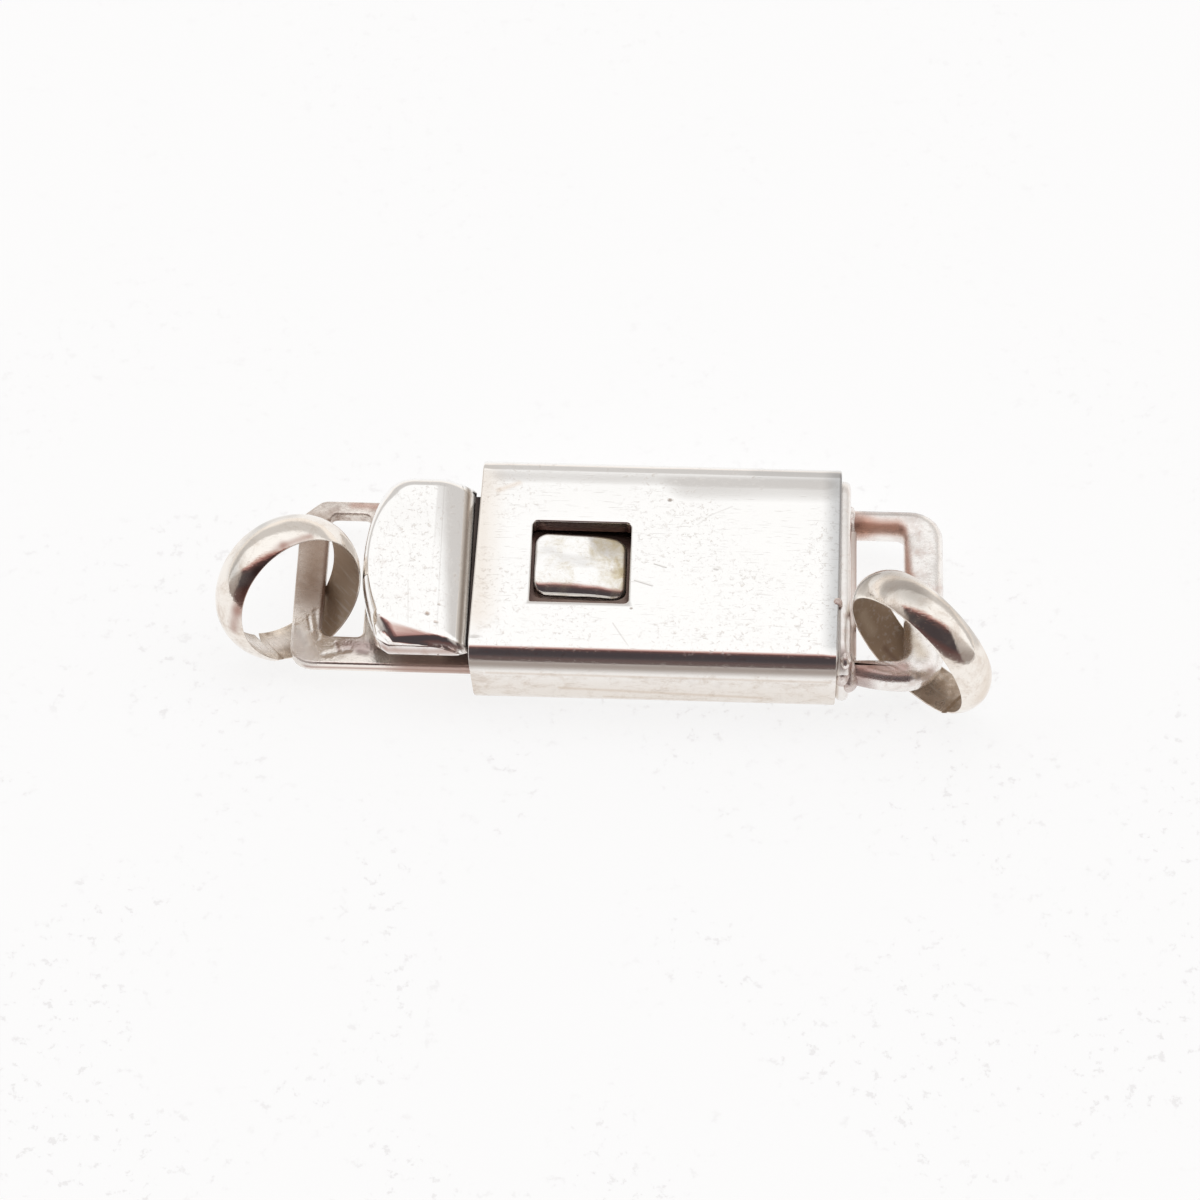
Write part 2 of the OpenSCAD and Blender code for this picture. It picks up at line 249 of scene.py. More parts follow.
matt = node(net, "ShaderNodeBsdfPrincipled", {
    "Base Color": colour_mix(net, 1.0, white, PAPER_SHADE, "MULTIPLY"), "Roughness": 0.9,
    "Specular IOR Level": 0.1, "Emission Color": white, "Emission Strength": PAPER_GLOW})
node(net, "ShaderNodeOutputMaterial", {"Surface": matt.outputs[0]})
paper_mesh.materials.append(paper_look)
print("paper", 2 * PAPER_HALF, "m wide")

# %% [markdown]
# ## Shared effects for silver
# Every silver piece of the clasp has the same kinds of wear, so each kind is a node group that is built
# once. Tarnish is a soft brown film that gathers in corners. Hairlines are the very fine straight lines
# that polishing leaves. Flecks are the tiny worn spots of daily use, which come in patches. A mark is one
# scratch, dent or stain at a known place, or one patch of painted shade, painted shadow, painted highlight
# or painted reflection.

# %% Group helper
def effect(name, vectors, numbers, output):
    group = bpy.data.node_groups.new(name, "ShaderNodeTree")
    for label in vectors + numbers:
        kind = "NodeSocketVector" if label in vectors else "NodeSocketFloat"
        group.interface.new_socket(name=label, in_out="INPUT", socket_type=kind)
    group.interface.new_socket(name=output, in_out="OUTPUT", socket_type="NodeSocketFloat")
    return group, group.nodes.new("NodeGroupInput").outputs, group.nodes.new("NodeGroupOutput").inputs[0]


print("group helper ready")

# %% Tarnish
HOLLOW_REACH = 0.5 * MM
HOLLOW_GAIN = 1.6
tarnish, given, result = effect("tarnish", ["Vector", "Stretch"], ["Scale", "Level", "Corner"], "Mask")
drawn = vector_sum(tarnish, "MULTIPLY", given["Vector"], given["Stretch"])
cloud = noise_map(tarnish, drawn, given["Scale"], 8.0, 0.7, 0.3)
film = sum_of(tarnish, "ADD", cloud, sum_of(tarnish, "SUBTRACT", given["Level"], 0.5))
film = step_between(tarnish, film, 0.36, 0.80)
hollow = node(tarnish, "ShaderNodeAmbientOcclusion", {"Distance": HOLLOW_REACH}, only_local=True, samples=4)
hollow = sum_of(tarnish, "SUBTRACT", 1.0, hollow.outputs["AO"])
hollow = sum_of(tarnish, "MULTIPLY", sum_of(tarnish, "MULTIPLY", hollow, HOLLOW_GAIN), given["Corner"])
tarnish.links.new(sum_of(tarnish, "ADD", film, hollow, clamp=True), result)
print("tarnish nodes", len(tarnish.nodes))

# %% Hairlines
LINE_STRETCH = (0.09, 1.0, 1.0)
LINE_EDGE = 0.16
hairlines, given, result = effect("hairlines", ["Vector", "Turn"], ["Fine", "Few"], "Lines")
laid = node(hairlines, "ShaderNodeVectorRotate", {"Vector": given["Vector"], "Rotation": given["Turn"]},
            rotation_type="EULER_XYZ")
drawn = vector_sum(hairlines, "MULTIPLY", laid.outputs[0], LINE_STRETCH)
streak = noise_map(hairlines, drawn, given["Fine"], 1.5)
edge = sum_of(hairlines, "ADD", given["Few"], LINE_EDGE)
hairlines.links.new(step_between(hairlines, streak, given["Few"], edge), result)
print("hairline nodes", len(hairlines.nodes))

# %% Flecks
FLECK_EDGE = 0.09
flecks, given, result = effect("flecks", ["Vector"], ["Scale", "Few", "Patch"], "Mask")
dust = noise_map(flecks, given["Vector"], given["Scale"], 5.0, 0.75, 0.6)
where = noise_map(flecks, given["Vector"], given["Patch"], 2.0)
edge = sum_of(flecks, "ADD", given["Few"], FLECK_EDGE)
dust = step_between(flecks, dust, given["Few"], edge)
where = step_between(flecks, where, 0.36, 0.60)
flecks.links.new(sum_of(flecks, "MULTIPLY", dust, where), result)
print("fleck nodes", len(flecks.nodes))

# %% Marks
NOT_ZERO = 1e-6
mark, given, result = effect("mark", ["Vector", "Start", "End"], ["Width"], "Mask")
run = vector_sum(mark, "SUBTRACT", given["End"], given["Start"])
gone = vector_sum(mark, "SUBTRACT", given["Vector"], given["Start"])
along = vector_sum(mark, "DOT_PRODUCT", gone, run)
whole = vector_sum(mark, "DOT_PRODUCT", run, run)
share = sum_of(mark, "DIVIDE", along, sum_of(mark, "ADD", whole, NOT_ZERO), clamp=True)
foot = node(mark, "ShaderNodeVectorMath", {0: run, "Scale": share}, operation="SCALE").outputs[0]
off = vector_sum(mark, "DISTANCE", gone, foot)
mark.links.new(sum_of(mark, "SUBTRACT", 1.0, step_between(mark, off, 0.0, given["Width"])), result)
print("mark nodes", len(mark.nodes))

# %% [markdown]
# ## One recipe for silver
# All pieces are the same sterling silver, so one function mixes the effects into a metal. What changes from
# piece to piece is how clean it is, where its brown film lies and which marks it has. A mark is written as
# its start, its end, its width, how strong its colour is, how deep it is, and the colour. The film can lie
# thicker on one side of the piece: low and high are two points, and the film grows on the way from low to
# high. Film is less metallic than bare silver, so a dull value says how much of the shine it takes away, and
# a strong mark counts as film too.
# Some marks and film slopes paint light into the colour: painted shade, shadow, highlights and reflections.

# %% Silver
CLEAN = (0.955, 0.943, 0.925)
FILM = (0.62, 0.50, 0.40)
DARK_FILM = (0.30, 0.20, 0.14)
LINE = (0.70, 0.66, 0.62)
FLECK = (0.60, 0.50, 0.42)
# Painted shade for the dark gaps in the case's window, around the lug.
GAP_SHADE = (0.15, 0.09, 0.075)
# Painted shadow for the gap between the thumb tab and the case's mouth.
GAP_SHADOW = (0.02, 0.012, 0.010)
CROSS_TURN = 1.1
CROSS_FINE = 0.8
CROSS_FEWER = 0.05
CROSS_SHARE = 0.3
LINE_SHARE = 0.30
LINE_DEEP = 0.0006
LINE_ROUGH = 0.06
FLECK_DEEP = 0.0012
FLECK_SCALE = 6.0
FLECK_FEW = 0.56
FLECK_PATCH = 0.35
GRAIN_SCALE = 5.0
STRONG_MARK = 0.65


def apply(net, effect_tree, inputs):
    return node(net, "ShaderNodeGroup", inputs, node_tree=effect_tree).outputs[0]


def silver(name, clean=CLEAN, film=FILM, level=0.40, corner=0.5, scale=0.9, stretch=(1, 1, 1), polish=0.08,
           haze=0.16, few=0.60, fine=26.0, turn=(0, 0, 0), waves=0.010, wave_size=0.35, grain=0.0, worn=0.35,
           dull=0.25, marks=(), slopes=()):
    made, net = new_look(name)
    spot = place_in_mm(net)
    more = level
    for low, high, amount in slopes:
        run = Vector(high) - Vector(low)
        part = vector_sum(net, "DOT_PRODUCT", spot, tuple(run / run.length_squared))
        begin = Vector(low).dot(run) / run.length_squared
        part = step_between(net, part, begin, begin + 1.0)
        more = sum_of(net, "MULTIPLY_ADD", part, amount, more)
    stain = apply(net, tarnish, {"Vector": spot, "Stretch": stretch, "Scale": scale, "Level": more,
                                 "Corner": corner})
    colour = colour_mix(net, stain, clean, film)
    first = apply(net, hairlines, {"Vector": spot, "Turn": turn, "Fine": fine, "Few": few})
    cross = apply(net, hairlines, {"Vector": spot, "Turn": (turn[0], turn[1], turn[2] + CROSS_TURN),
                                   "Fine": fine * CROSS_FINE, "Few": few + CROSS_FEWER})
    scuff = sum_of(net, "MAXIMUM", first, sum_of(net, "MULTIPLY", cross, CROSS_SHARE))
    colour = colour_mix(net, sum_of(net, "MULTIPLY", scuff, LINE_SHARE), colour, LINE)
    spots = apply(net, flecks, {"Vector": spot, "Scale": FLECK_SCALE, "Few": FLECK_FEW, "Patch": FLECK_PATCH})
    colour = colour_mix(net, sum_of(net, "MULTIPLY", spots, worn, clamp=True), colour, FLECK)
    height = sum_of(net, "MULTIPLY", noise_map(net, spot, wave_size, 1.0), waves)
    height = sum_of(net, "MULTIPLY_ADD", scuff, -LINE_DEEP, height)
    height = sum_of(net, "MULTIPLY_ADD", spots, -FLECK_DEEP, height)
    if grain:
        height = sum_of(net, "MULTIPLY_ADD", noise_map(net, spot, GRAIN_SCALE, 4.0, 0.6), grain, height)
    matt = stain
    for start, end, width, dark, deep, tint in marks:
        one = apply(net, mark, {"Vector": spot, "Start": start, "End": end, "Width": width})
        if dark:
            colour = colour_mix(net, sum_of(net, "MULTIPLY", one, dark), colour, tint)
        if dark > STRONG_MARK:
            matt = sum_of(net, "MAXIMUM", matt, one)
        if deep:
            height = sum_of(net, "MULTIPLY_ADD", one, -deep, height)
    shine = sum_of(net, "MULTIPLY_ADD", stain, haze, polish)
    shine = sum_of(net, "MULTIPLY_ADD", scuff, LINE_ROUGH, shine)
    relief = node(net, "ShaderNodeBump", {"Height": height, "Distance": MM, "Strength": 1.0})
    bare = sum_of(net, "MULTIPLY_ADD", matt, -dull, 1.0)
    metal = node(net, "ShaderNodeBsdfPrincipled", {
        "Base Color": colour, "Metallic": bare, "Roughness": shine, "Normal": relief.outputs[0]})
    node(net, "ShaderNodeOutputMaterial", {"Surface": metal.outputs[0]})
    return made


print("silver recipe ready")

# %% [markdown]
# ## Mesh helpers
# Sheet-metal pieces start as a flat outline whose corners are rounded, then get their thickness, and last
# their sharp edges are softened, because no real edge is perfectly sharp and a soft edge catches light.
# Sheet that was hammered or pressed lower on one side is sliced across and pressed down along a profile.

# %% Outlines, cuts and soft edges
ON_PLANE = 1e-5
SAME_HEIGHT = 1e-4
CLOSE = 1e-3


def flat_corners(x_pair, y_pair, z):
    (x0, x1), (y0, y1) = x_pair, y_pair
    return [(x0, y0, z), (x1, y0, z), (x1, y1, z), (x0, y1, z)]


def outline(work, corners, radii, steps=6):
    old = set(work.faces)
    dots = [work.verts.new(c) for c in corners]
    work.faces.new(dots)
    for dot, radius in zip(dots, radii):
        if radius:
            bmesh.ops.bevel(work, geom=[dot], offset=radius, offset_type="OFFSET", affect="VERTICES",
                            segments=steps, profile=0.5, material=-1)
    return [f for f in work.faces if f not in old]


def open_rim(work, corners, radii, steps=6):
    faces = outline(work, corners, radii, steps)
    edges = [e for f in faces for e in f.edges]
    bmesh.ops.delete(work, geom=faces, context="FACES_ONLY")
    return edges


def thicken(work, faces, move):
    grown = bmesh.ops.extrude_face_region(work, geom=faces)
    dots = [g for g in grown["geom"] if isinstance(g, bmesh.types.BMVert)]
    bmesh.ops.translate(work, verts=dots, vec=move)


def slice_at(work, point, normal, drop=False):
    everything = work.verts[:] + work.edges[:] + work.faces[:]
    bmesh.ops.bisect_plane(work, geom=everything, plane_co=point, plane_no=normal, dist=ON_PLANE,
                           clear_outer=drop)


def soften(work, width, steps=3, degrees=35, only=None, clamp=False):
    work.normal_update()
    sharp = [e for e in work.edges if e.is_manifold and e.calc_face_angle(0) > math.radians(degrees)
             and (only is None or only(e))]
    bmesh.ops.bevel(work, geom=sharp, offset=width, offset_type="OFFSET", affect="EDGES", segments=steps,
                    profile=0.5, material=-1, clamp_overlap=clamp)


def middle_of(edge):
    return (edge.verts[0].co + edge.verts[1].co) / 2


def is_level(edge):
    return abs(edge.verts[0].co.z - edge.verts[1].co.z) < SAME_HEIGHT


def press_down(work, point, way, profile, above):
    point, way = Vector(point), Vector(way).normalized()
    for far, _ in profile:
        slice_at(work, point + way * far, way)
    for dot in work.verts:
        far = (dot.co - point).dot(way)
        for (near_at, near_drop), (far_at, far_drop) in zip(profile, profile[1:]):
            if near_at < far and dot.co.z > above:
                share = min(1.0, (far - near_at) / (far_at - near_at))
                dot.co.z -= (far_drop - near_drop) * share


print("mesh helpers ready")

# %% [markdown]
# A hole with rounded corners is cut by framing it: the plate is sliced a little outside the hole, the framed
# middle is taken away on both faces, and flat triangles join the frame to a new rounded rim that runs through
# the plate. The faces around the hole stay flat, so they reflect cleanly.

# %% Holes
HOLE_STEPS = 5


def cut_hole(work, x_pair, y_pair, z_pair, radii, frame_w=0.15):
    (x0, x1), (y0, y1), (z0, z1) = x_pair, y_pair, z_pair
    for x in (x0 - frame_w, x1 + frame_w):
        slice_at(work, (x, 0, 0), (1, 0, 0))
    for y in (y0 - frame_w, y1 + frame_w):
        slice_at(work, (0, y, 0), (0, 1, 0))
    lids = []
    for face in work.faces:
        mid = face.calc_center_median()
        flat = all(abs(v.co.z - mid.z) < SAME_HEIGHT for v in face.verts)
        on_top_or_bottom = min(abs(mid.z - z0), abs(mid.z - z1)) < CLOSE
        if flat and on_top_or_bottom and x0 < mid.x < x1 and y0 < mid.y < y1:
            lids.append(face)
    bmesh.ops.delete(work, geom=lids, context="FACES")
    frames = [e for e in work.edges if e.is_boundary]
    upper = open_rim(work, flat_corners(x_pair, y_pair, z1), radii, HOLE_STEPS)
    walls = bmesh.ops.extrude_edge_only(work, edges=upper)["geom"]
    low_dots = [g for g in walls if isinstance(g, bmesh.types.BMVert)]
    bmesh.ops.translate(work, verts=low_dots, vec=(0, 0, z0 - z1))
    lower = [e for e in work.edges if e.is_boundary and e.verts[0] in low_dots and e.verts[1] in low_dots]
    for rim, z in ((upper, z1), (lower, z0)):
        around = [e for e in frames if abs(middle_of(e).z - z) < CLOSE]
        bmesh.ops.triangle_fill(work, edges=around + rim, use_beauty=True)


print("hole helper ready")

# %% [markdown]
# Finishing a piece merges its doubled points, turns its faces outward, scales it to metres, shades it
# smoothly with even normals, says which part of the clasp it rides on, and hides the CAD solid it stands for.

# %% Finish a piece
SAME_POINT = 0.0008
SHADING_WEIGHT = 80


def finish_piece(name, work, look, body, stands_for, crease=40):
    bmesh.ops.remove_doubles(work, verts=work.verts, dist=SAME_POINT)
    bmesh.ops.recalc_face_normals(work, faces=work.faces)
    bmesh.ops.scale(work, verts=work.verts, vec=(MM, MM, MM))
    open_edges = sum(1 for e in work.edges if not e.is_manifold)
    mesh = bpy.data.meshes.new(name)
    work.to_mesh(mesh)
    work.free()
    for face in mesh.polygons:
        face.use_smooth = True
    mesh.set_sharp_from_angle(angle=math.radians(crease))
    mesh.materials.append(look)
    piece = bpy.data.objects.new(name, mesh)
    scene.collection.objects.link(piece)
    even = piece.modifiers.new("even_shading", "WEIGHTED_NORMAL")
    even.keep_sharp = True
    even.weight = SHADING_WEIGHT
    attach(piece, body)
    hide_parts(stands_for)
    print(name, len(mesh.polygons), "faces", open_edges, "open edges")
    return piece


# %% [markdown]
# ## Case
# The case is a strip of sheet folded into a flat tube, with a window cut in its roof for the catch. It could
# be a box with a Solidify modifier, but a rounded outline inside another, bridged and drawn out along the
# clasp, gives the folded corners their real inner and outer radii.

# %% Case sizes
CASE_X = (-5.415, 5.415)
CASE_HALF_W = 3.8
CASE_H = 2.48
SHEET = 0.5
EDGE_R = 0.65
MOUTH_RAKE = 0.2
MOUTH_SKEW = 0.022
END_SKEW = 0.016
BACK_BULGE = 0.09
CORNER_STEPS = 10
SAWN_EDGE = 0.05
END_BAND = 0.2
WINDOW_X = (-3.815, -0.835)
WINDOW_Y = (-1.72, 1.32)
WINDOW_RADII = (0.05, 0.16, 0.16, 0.16)


def tube_corners(x, half_w, low, high):
    return [(x, -half_w, low), (x, half_w, low), (x, half_w, high), (x, -half_w, high)]


print("case", CASE_X[1] - CASE_X[0], "x", 2 * CASE_HALF_W, "x", CASE_H, "mm")

# %% Case silver
top = CASE_H
case_marks = [
    ((1.15, 1.34, top), (1.55, 1.72, top), 0.05, 0.15, 0.001, LINE),
    ((1.55, 1.72, top), (2.20, 2.07, top), 0.05, 0.15, 0.001, LINE),
    ((1.72, -0.31, top), (1.78, -0.33, top), 0.10, 0.35, 0.004, LINE),
    ((0.30, 2.25, top), (0.31, 2.25, top), 0.09, 0.75, 0.010, DARK_FILM),
    ((-0.76, -1.90, top), (-0.74, -1.90, top), 0.06, 0.6, 0.004, DARK_FILM),
    ((-0.67, -0.84, top), (-0.15, -1.02, top), 0.06, 0.35, 0.003, LINE),
    ((-1.28, -2.47, top), (-0.77, -3.35, top), 0.035, 0.5, 0.002, LINE),
    ((-0.10, -0.20, top), (0.25, -0.32, top), 0.05, 0.3, 0.003, LINE),
    ((-2.83, -3.8, 0.95), (3.2, -3.8, 0.70), 0.10, 0.55, 0.0, FILM),
    ((-1.5, -3.8, 0.55), (2.4, -3.8, 0.42), 0.09, 0.50, 0.0, FILM),
    ((-5.6, -3.76, 2.03), (5.4, -3.76, 2.03), 0.36, 0.90, 0.0, (0.34, 0.28, 0.24)),
    ((-5.0, -3.78, 1.62), (5.2, -3.78, 1.58), 0.10, 0.5, 0.0, FILM),
    ((-3.9, -3.8, 0.35), (-1.0, -3.8, 0.30), 0.06, 0.5, 0.0, FILM),
    ((-5.6, -3.8, 0.75), (5.6, -3.8, 0.75), 1.60, 0.45, 0.0, (0.74, 0.64, 0.54)),
    ((0.9, 3.25, top), (4.9, 3.3, top), 1.05, 0.0, 0.032, LINE),
    # Matt cream along the back's upper rounding is a painted reflection of the bright paper.
    ((-5.5, 3.80, 2.16), (5.5, 3.80, 2.16), 0.24, 0.85, 0.0, (0.89, 0.84, 0.78)),
    ((-4.8, 3.3, top), (5.0, 3.3, top), 0.55, 0.0, 0.016, LINE),
    # Grey band at the tube's closed end: a real dip in the sheet from the bump, and painted shade in its
    # grey.
    ((5.40, -3.0, top), (5.44, 3.3, top), 0.58, 0.64, 0.020, (0.42, 0.425, 0.43)),
    ((5.46, -3.2, top), (5.52, 3.5, top), 0.09, 0.80, 0.0, (0.20, 0.18, 0.18)),
    # Grey patch near the back edge of the top is painted shade.
    ((3.0, 3.45, top), (5.4, 3.45, top), 0.50, 0.30, 0.0, (0.60, 0.60, 0.60)),
    ((-5.4, -3.0, top), (-5.4, 3.2, top), 0.30, 0.10, 0.015, FILM),
    ((-5.3, -2.2, top), (-5.3, 2.9, top), 0.85, 0.34, 0.0, (0.78, 0.65, 0.52)),
    ((-4.9, 2.45, top), (-4.3, 2.75, top), 0.16, 0.42, 0.0, (0.78, 0.63, 0.50)),
]
# The window's three cut walls get painted shade: brown on the back wall, near black on the side walls.
WALL_Z = CASE_H - 0.40
WALL_SHADE = (0.52, 0.37, 0.33)
(left, right), (front, back) = WINDOW_X, WINDOW_Y
for start, end, tint in (((left, back), (right, back), WALL_SHADE), ((left, front), (left, back), GAP_SHADE),
                         ((right, front), (right, back), GAP_SHADE)):
    case_marks.append(((*start, WALL_Z), (*end, WALL_Z), 0.42, 0.97, 0.0, tint))
case_silver = silver(
    "case_silver", level=0.20, corner=0.4, scale=2.4, stretch=(0.6, 1, 1), few=0.63, waves=0.022,
    wave_size=0.30, marks=case_marks, dull=0.35,
    slopes=[((0, -3.55, 1.9), (0, -3.80, 1.5), 0.22), ((-4.4, -3.5, 2.4), (-5.4, -3.3, 2.4), 0.13)])
print("case marks", len(case_marks))

# %% Case tube
work = bmesh.new()
outer = open_rim(work, tube_corners(CASE_X[0], CASE_HALF_W, 0, CASE_H), [EDGE_R] * 4, CORNER_STEPS)
inner = open_rim(work, tube_corners(CASE_X[0], CASE_HALF_W - SHEET, SHEET, CASE_H - SHEET),
                 [EDGE_R - SHEET] * 4, CORNER_STEPS)
bmesh.ops.bridge_loops(work, edges=outer + inner)
thicken(work, work.faces[:], (CASE_X[1] - CASE_X[0], 0, 0))
cut_hole(work, WINDOW_X, WINDOW_Y, (CASE_H - SHEET, CASE_H), WINDOW_RADII)
soften(work, SAWN_EDGE)
print("straight tube", len(work.faces), "faces")

# %% [markdown]
# A tube that was folded by hand isn't quite true. Its mouth leans and is out of square, its far end is out of
# square the other way, and the fold along its back stands a little proud.

# %% Case out of true
mouth = [v for v in work.verts if v.co.x < CASE_X[0] + END_BAND]
lean = Matrix.Identity(4)
lean[0][2] = -MOUTH_RAKE / CASE_H
lean[0][1] = MOUTH_SKEW
lean[0][3] = MOUTH_RAKE - MOUTH_SKEW * CASE_HALF_W
bmesh.ops.transform(work, matrix=lean, verts=mouth)
for dot in work.verts:
    if dot.co.x > CASE_X[1] - END_BAND:
        dot.co.x += END_SKEW * (dot.co.y + CASE_HALF_W)
    if dot.co.y > CASE_HALF_W - EDGE_R - 0.05:
        dot.co.y += BACK_BULGE
finish_piece("case_tube", work, case_silver, "case", "case")

# %% [markdown]
# The tube's far end is closed by a plate that is soldered on, slightly smaller than the tube. It is an
# outline of its own, one sheet thick, with its outer edge rounded over by filing. A thin foot of the same
# metal runs across it, between the two places where the loop will stand.

# %% End plate sizes and silver
PLATE_X = 5.815
PLATE_INSET = 0.1
PLATE_SUNK = 0.02
PLATE_TOP_R = 0.95
FILED_R = 0.20
FOOT_Y = (-2.825, 1.965)
FOOT_Z = 0.95
FOOT_HIGH = 0.58
FOOT_OUT = 0.2
plate_silver = silver(
    "plate_silver", clean=(0.93, 0.90, 0.87), film=(0.74, 0.56, 0.48), level=0.36, corner=0.6, scale=1.3,
    polish=0.30, haze=0.10, waves=0.03, wave_size=0.8, grain=0.006, dull=0.6,
    marks=[((5.62, -3.6, 2.0), (5.62, -3.2, 2.35), 0.40, 0.75, 0.0, (0.90, 0.84, 0.80)),
           ((6.00, -2.7, 1.5), (6.00, 1.9, 1.5), 0.13, 0.60, 0.0, (0.44, 0.28, 0.22)),
           ((5.72, -1.9, 2.30), (5.84, -1.5, 2.05), 0.20, 0.62, 0.01, (0.30, 0.18, 0.14))])
print("plate silver ready")

# %% End plate
work = bmesh.new()
lid = outline(work, tube_corners(CASE_X[1] - PLATE_SUNK, CASE_HALF_W - PLATE_INSET, PLATE_INSET,
                                 CASE_H - PLATE_INSET),
              [EDGE_R, EDGE_R, PLATE_TOP_R, PLATE_TOP_R], CORNER_STEPS)
thicken(work, lid, (PLATE_X - CASE_X[1] + PLATE_SUNK, 0, 0))
soften(work, FILED_R, 6)
foot = outline(work, flat_corners((PLATE_X - 0.05, PLATE_X + FOOT_OUT), FOOT_Y, FOOT_Z), [0] * 4)
thicken(work, foot, (0, 0, FOOT_HIGH))
soften(work, 0.04, 2, degrees=80)
finish_piece("end_plate", work, plate_silver, "case", "case")

# %% [markdown]
# ## Loop at the closed end
# A wire is bent into a square loop and hammered a little flat across its outer bar. A curve with a bevel
# would give a wire of one width only, so the loop is a U-shaped outline raised to the wire's height, and a
# wide bevel rounds it back into wire.

# %% Right loop
LOOP_Z = (0.81, 1.67)
LOOP_Y = (-3.685, 2.825)
LOOP_HOLE_Y = (-2.825, 1.965)
LOOP_X = 8.645
LOOP_HOLE_X = 7.445
ROOT_X = PLATE_X - 0.1
ROOT_CUT = (0.65, 0.30)
WIRE_ROUND = 0.36
# Red-brown that is partly fire scale and partly a painted reflection of the warm edge of the dark opening.
FIRESCALE_AND_REFLECTION = (0.68, 0.37, 0.27)
loop_silver = silver(
    "loop_silver", clean=(0.95, 0.92, 0.89), film=(0.60, 0.40, 0.33), level=0.42, corner=0.6, scale=1.1,
    polish=0.26, haze=0.16, waves=0.07, wave_size=1.0, grain=0.010, dull=0.85,
    # Red-brown on the back arm's front edge and on the bar's inner edge: fire scale and painted reflection.
    marks=[((5.80, 2.30, 1.4), (6.15, 2.20, 1.5), 0.70, 0.95, 0.02, FIRESCALE_AND_REFLECTION),
           ((6.2, 2.10, 1.60), (7.2, 2.10, 1.60), 0.44, 0.95, 0.02, FIRESCALE_AND_REFLECTION),
           ((7.40, 1.95, 1.6), (7.58, 0.2, 1.6), 0.26, 0.90, 0.0, (0.52, 0.27, 0.19)),
           # Grey along the back arm's back edge is painted shade.
           ((6.3, 2.70, 1.6), (7.9, 2.70, 1.6), 0.36, 0.65, 0.0, (0.44, 0.40, 0.39)),
           # Dark red on the front arm is a painted reflection of the warm dark opening.
           ((5.85, -3.2, 1.2), (6.3, -3.3, 1.2), 0.60, 0.90, 0.02, (0.34, 0.17, 0.14)),
           ((6.2, -3.25, 1.5), (7.4, -3.25, 1.5), 0.42, 0.90, 0.03, (0.48, 0.19, 0.14)),
           # Olive-brown on the bar under the ring is painted shade.
           ((7.95, -2.7, 1.67), (7.55, -1.9, 1.67), 0.42, 0.60, 0.02, (0.56, 0.45, 0.32)),
           ((5.86, 2.30, 1.5), (5.98, 2.22, 1.5), 0.42, 0.80, 0.0, (0.14, 0.06, 0.045)),
           # Two pale wavy lines on the front arm are painted highlights.
           ((6.9, -3.0, 1.6), (7.7, -3.5, 1.5), 0.16, 0.85, -0.03, CLEAN),
           ((6.6, -3.0, 1.6), (7.1, -3.3, 1.6), 0.10, 0.85, -0.02, CLEAN)])
u_shape = [
    (ROOT_X, LOOP_Y[1]), (LOOP_X, LOOP_Y[1]), (LOOP_X, LOOP_Y[0]), (ROOT_X + ROOT_CUT[0], LOOP_Y[0]),
    (ROOT_X, LOOP_Y[0] + ROOT_CUT[1]), (ROOT_X, LOOP_HOLE_Y[0]), (LOOP_HOLE_X, LOOP_HOLE_Y[0]),
    (LOOP_HOLE_X, LOOP_HOLE_Y[1]), (ROOT_X, LOOP_HOLE_Y[1])]
work = bmesh.new()
base = outline(work, [(x, y, LOOP_Z[0]) for x, y in u_shape], [0, 1.0, 1.25, 0.8, 0, 0, 0.3, 0.22, 0], 8)
thicken(work, base, (0, 0, LOOP_Z[1] - LOOP_Z[0]))
soften(work, WIRE_ROUND, 6, only=lambda e: middle_of(e).x > ROOT_X + 0.01 and is_level(e))
finish_piece("right_loop", work, loop_silver, "case", "case")

# %% [markdown]
# Solder runs into the corner where the loop meets the plate, and hardens in uneven beads. Each bead starts as
# a ball that is pressed out of round, and a noise that is the same in every run makes it lumpy.

# %% Solder
LUMP_HIGH = 0.05
LUMP_FINE = 3.0
solder_silver = silver(
    "solder_silver", clean=(0.93, 0.89, 0.86), film=(0.42, 0.25, 0.20), level=0.52, corner=0.8, scale=1.8,
    polish=0.22, haze=0.18, waves=0.08, wave_size=1.2, grain=0.010, dull=0.7)
BEADS = [
    ((5.80, 2.40, 1.24), (0.30, 0.55, 0.50)), ((5.80, -3.22, 1.24), (0.30, 0.56, 0.50)),
    ((5.62, -3.52, 1.45), (0.24, 0.22, 0.34)), ((5.84, 2.95, 1.05), (0.16, 0.22, 0.30)),
    ((5.40, -1.44, 2.40), (0.13, 0.16, 0.09)), ((5.66, -3.22, 2.02), (0.20, 0.36, 0.26))]
work = bmesh.new()
for at, size in BEADS:
    ball = bmesh.ops.create_icosphere(work, subdivisions=4, radius=1.0)["verts"]
    bmesh.ops.scale(work, verts=ball, vec=size)
    bmesh.ops.translate(work, verts=ball, vec=at)
    for dot in ball:
        away = (dot.co - Vector(at)).normalized()
        dot.co += away * LUMP_HIGH * noise.noise(dot.co * LUMP_FINE)
finish_piece("loop_solder", work, solder_silver, "case", "case")

# %% [markdown]
# ## Tongue
# The tongue is a flat strip that slides into the case. Outside the mouth it has its own loop, cut through the
# strip, and at its far end it folds up and back on itself. The fold is made with a spin of the strip's end.

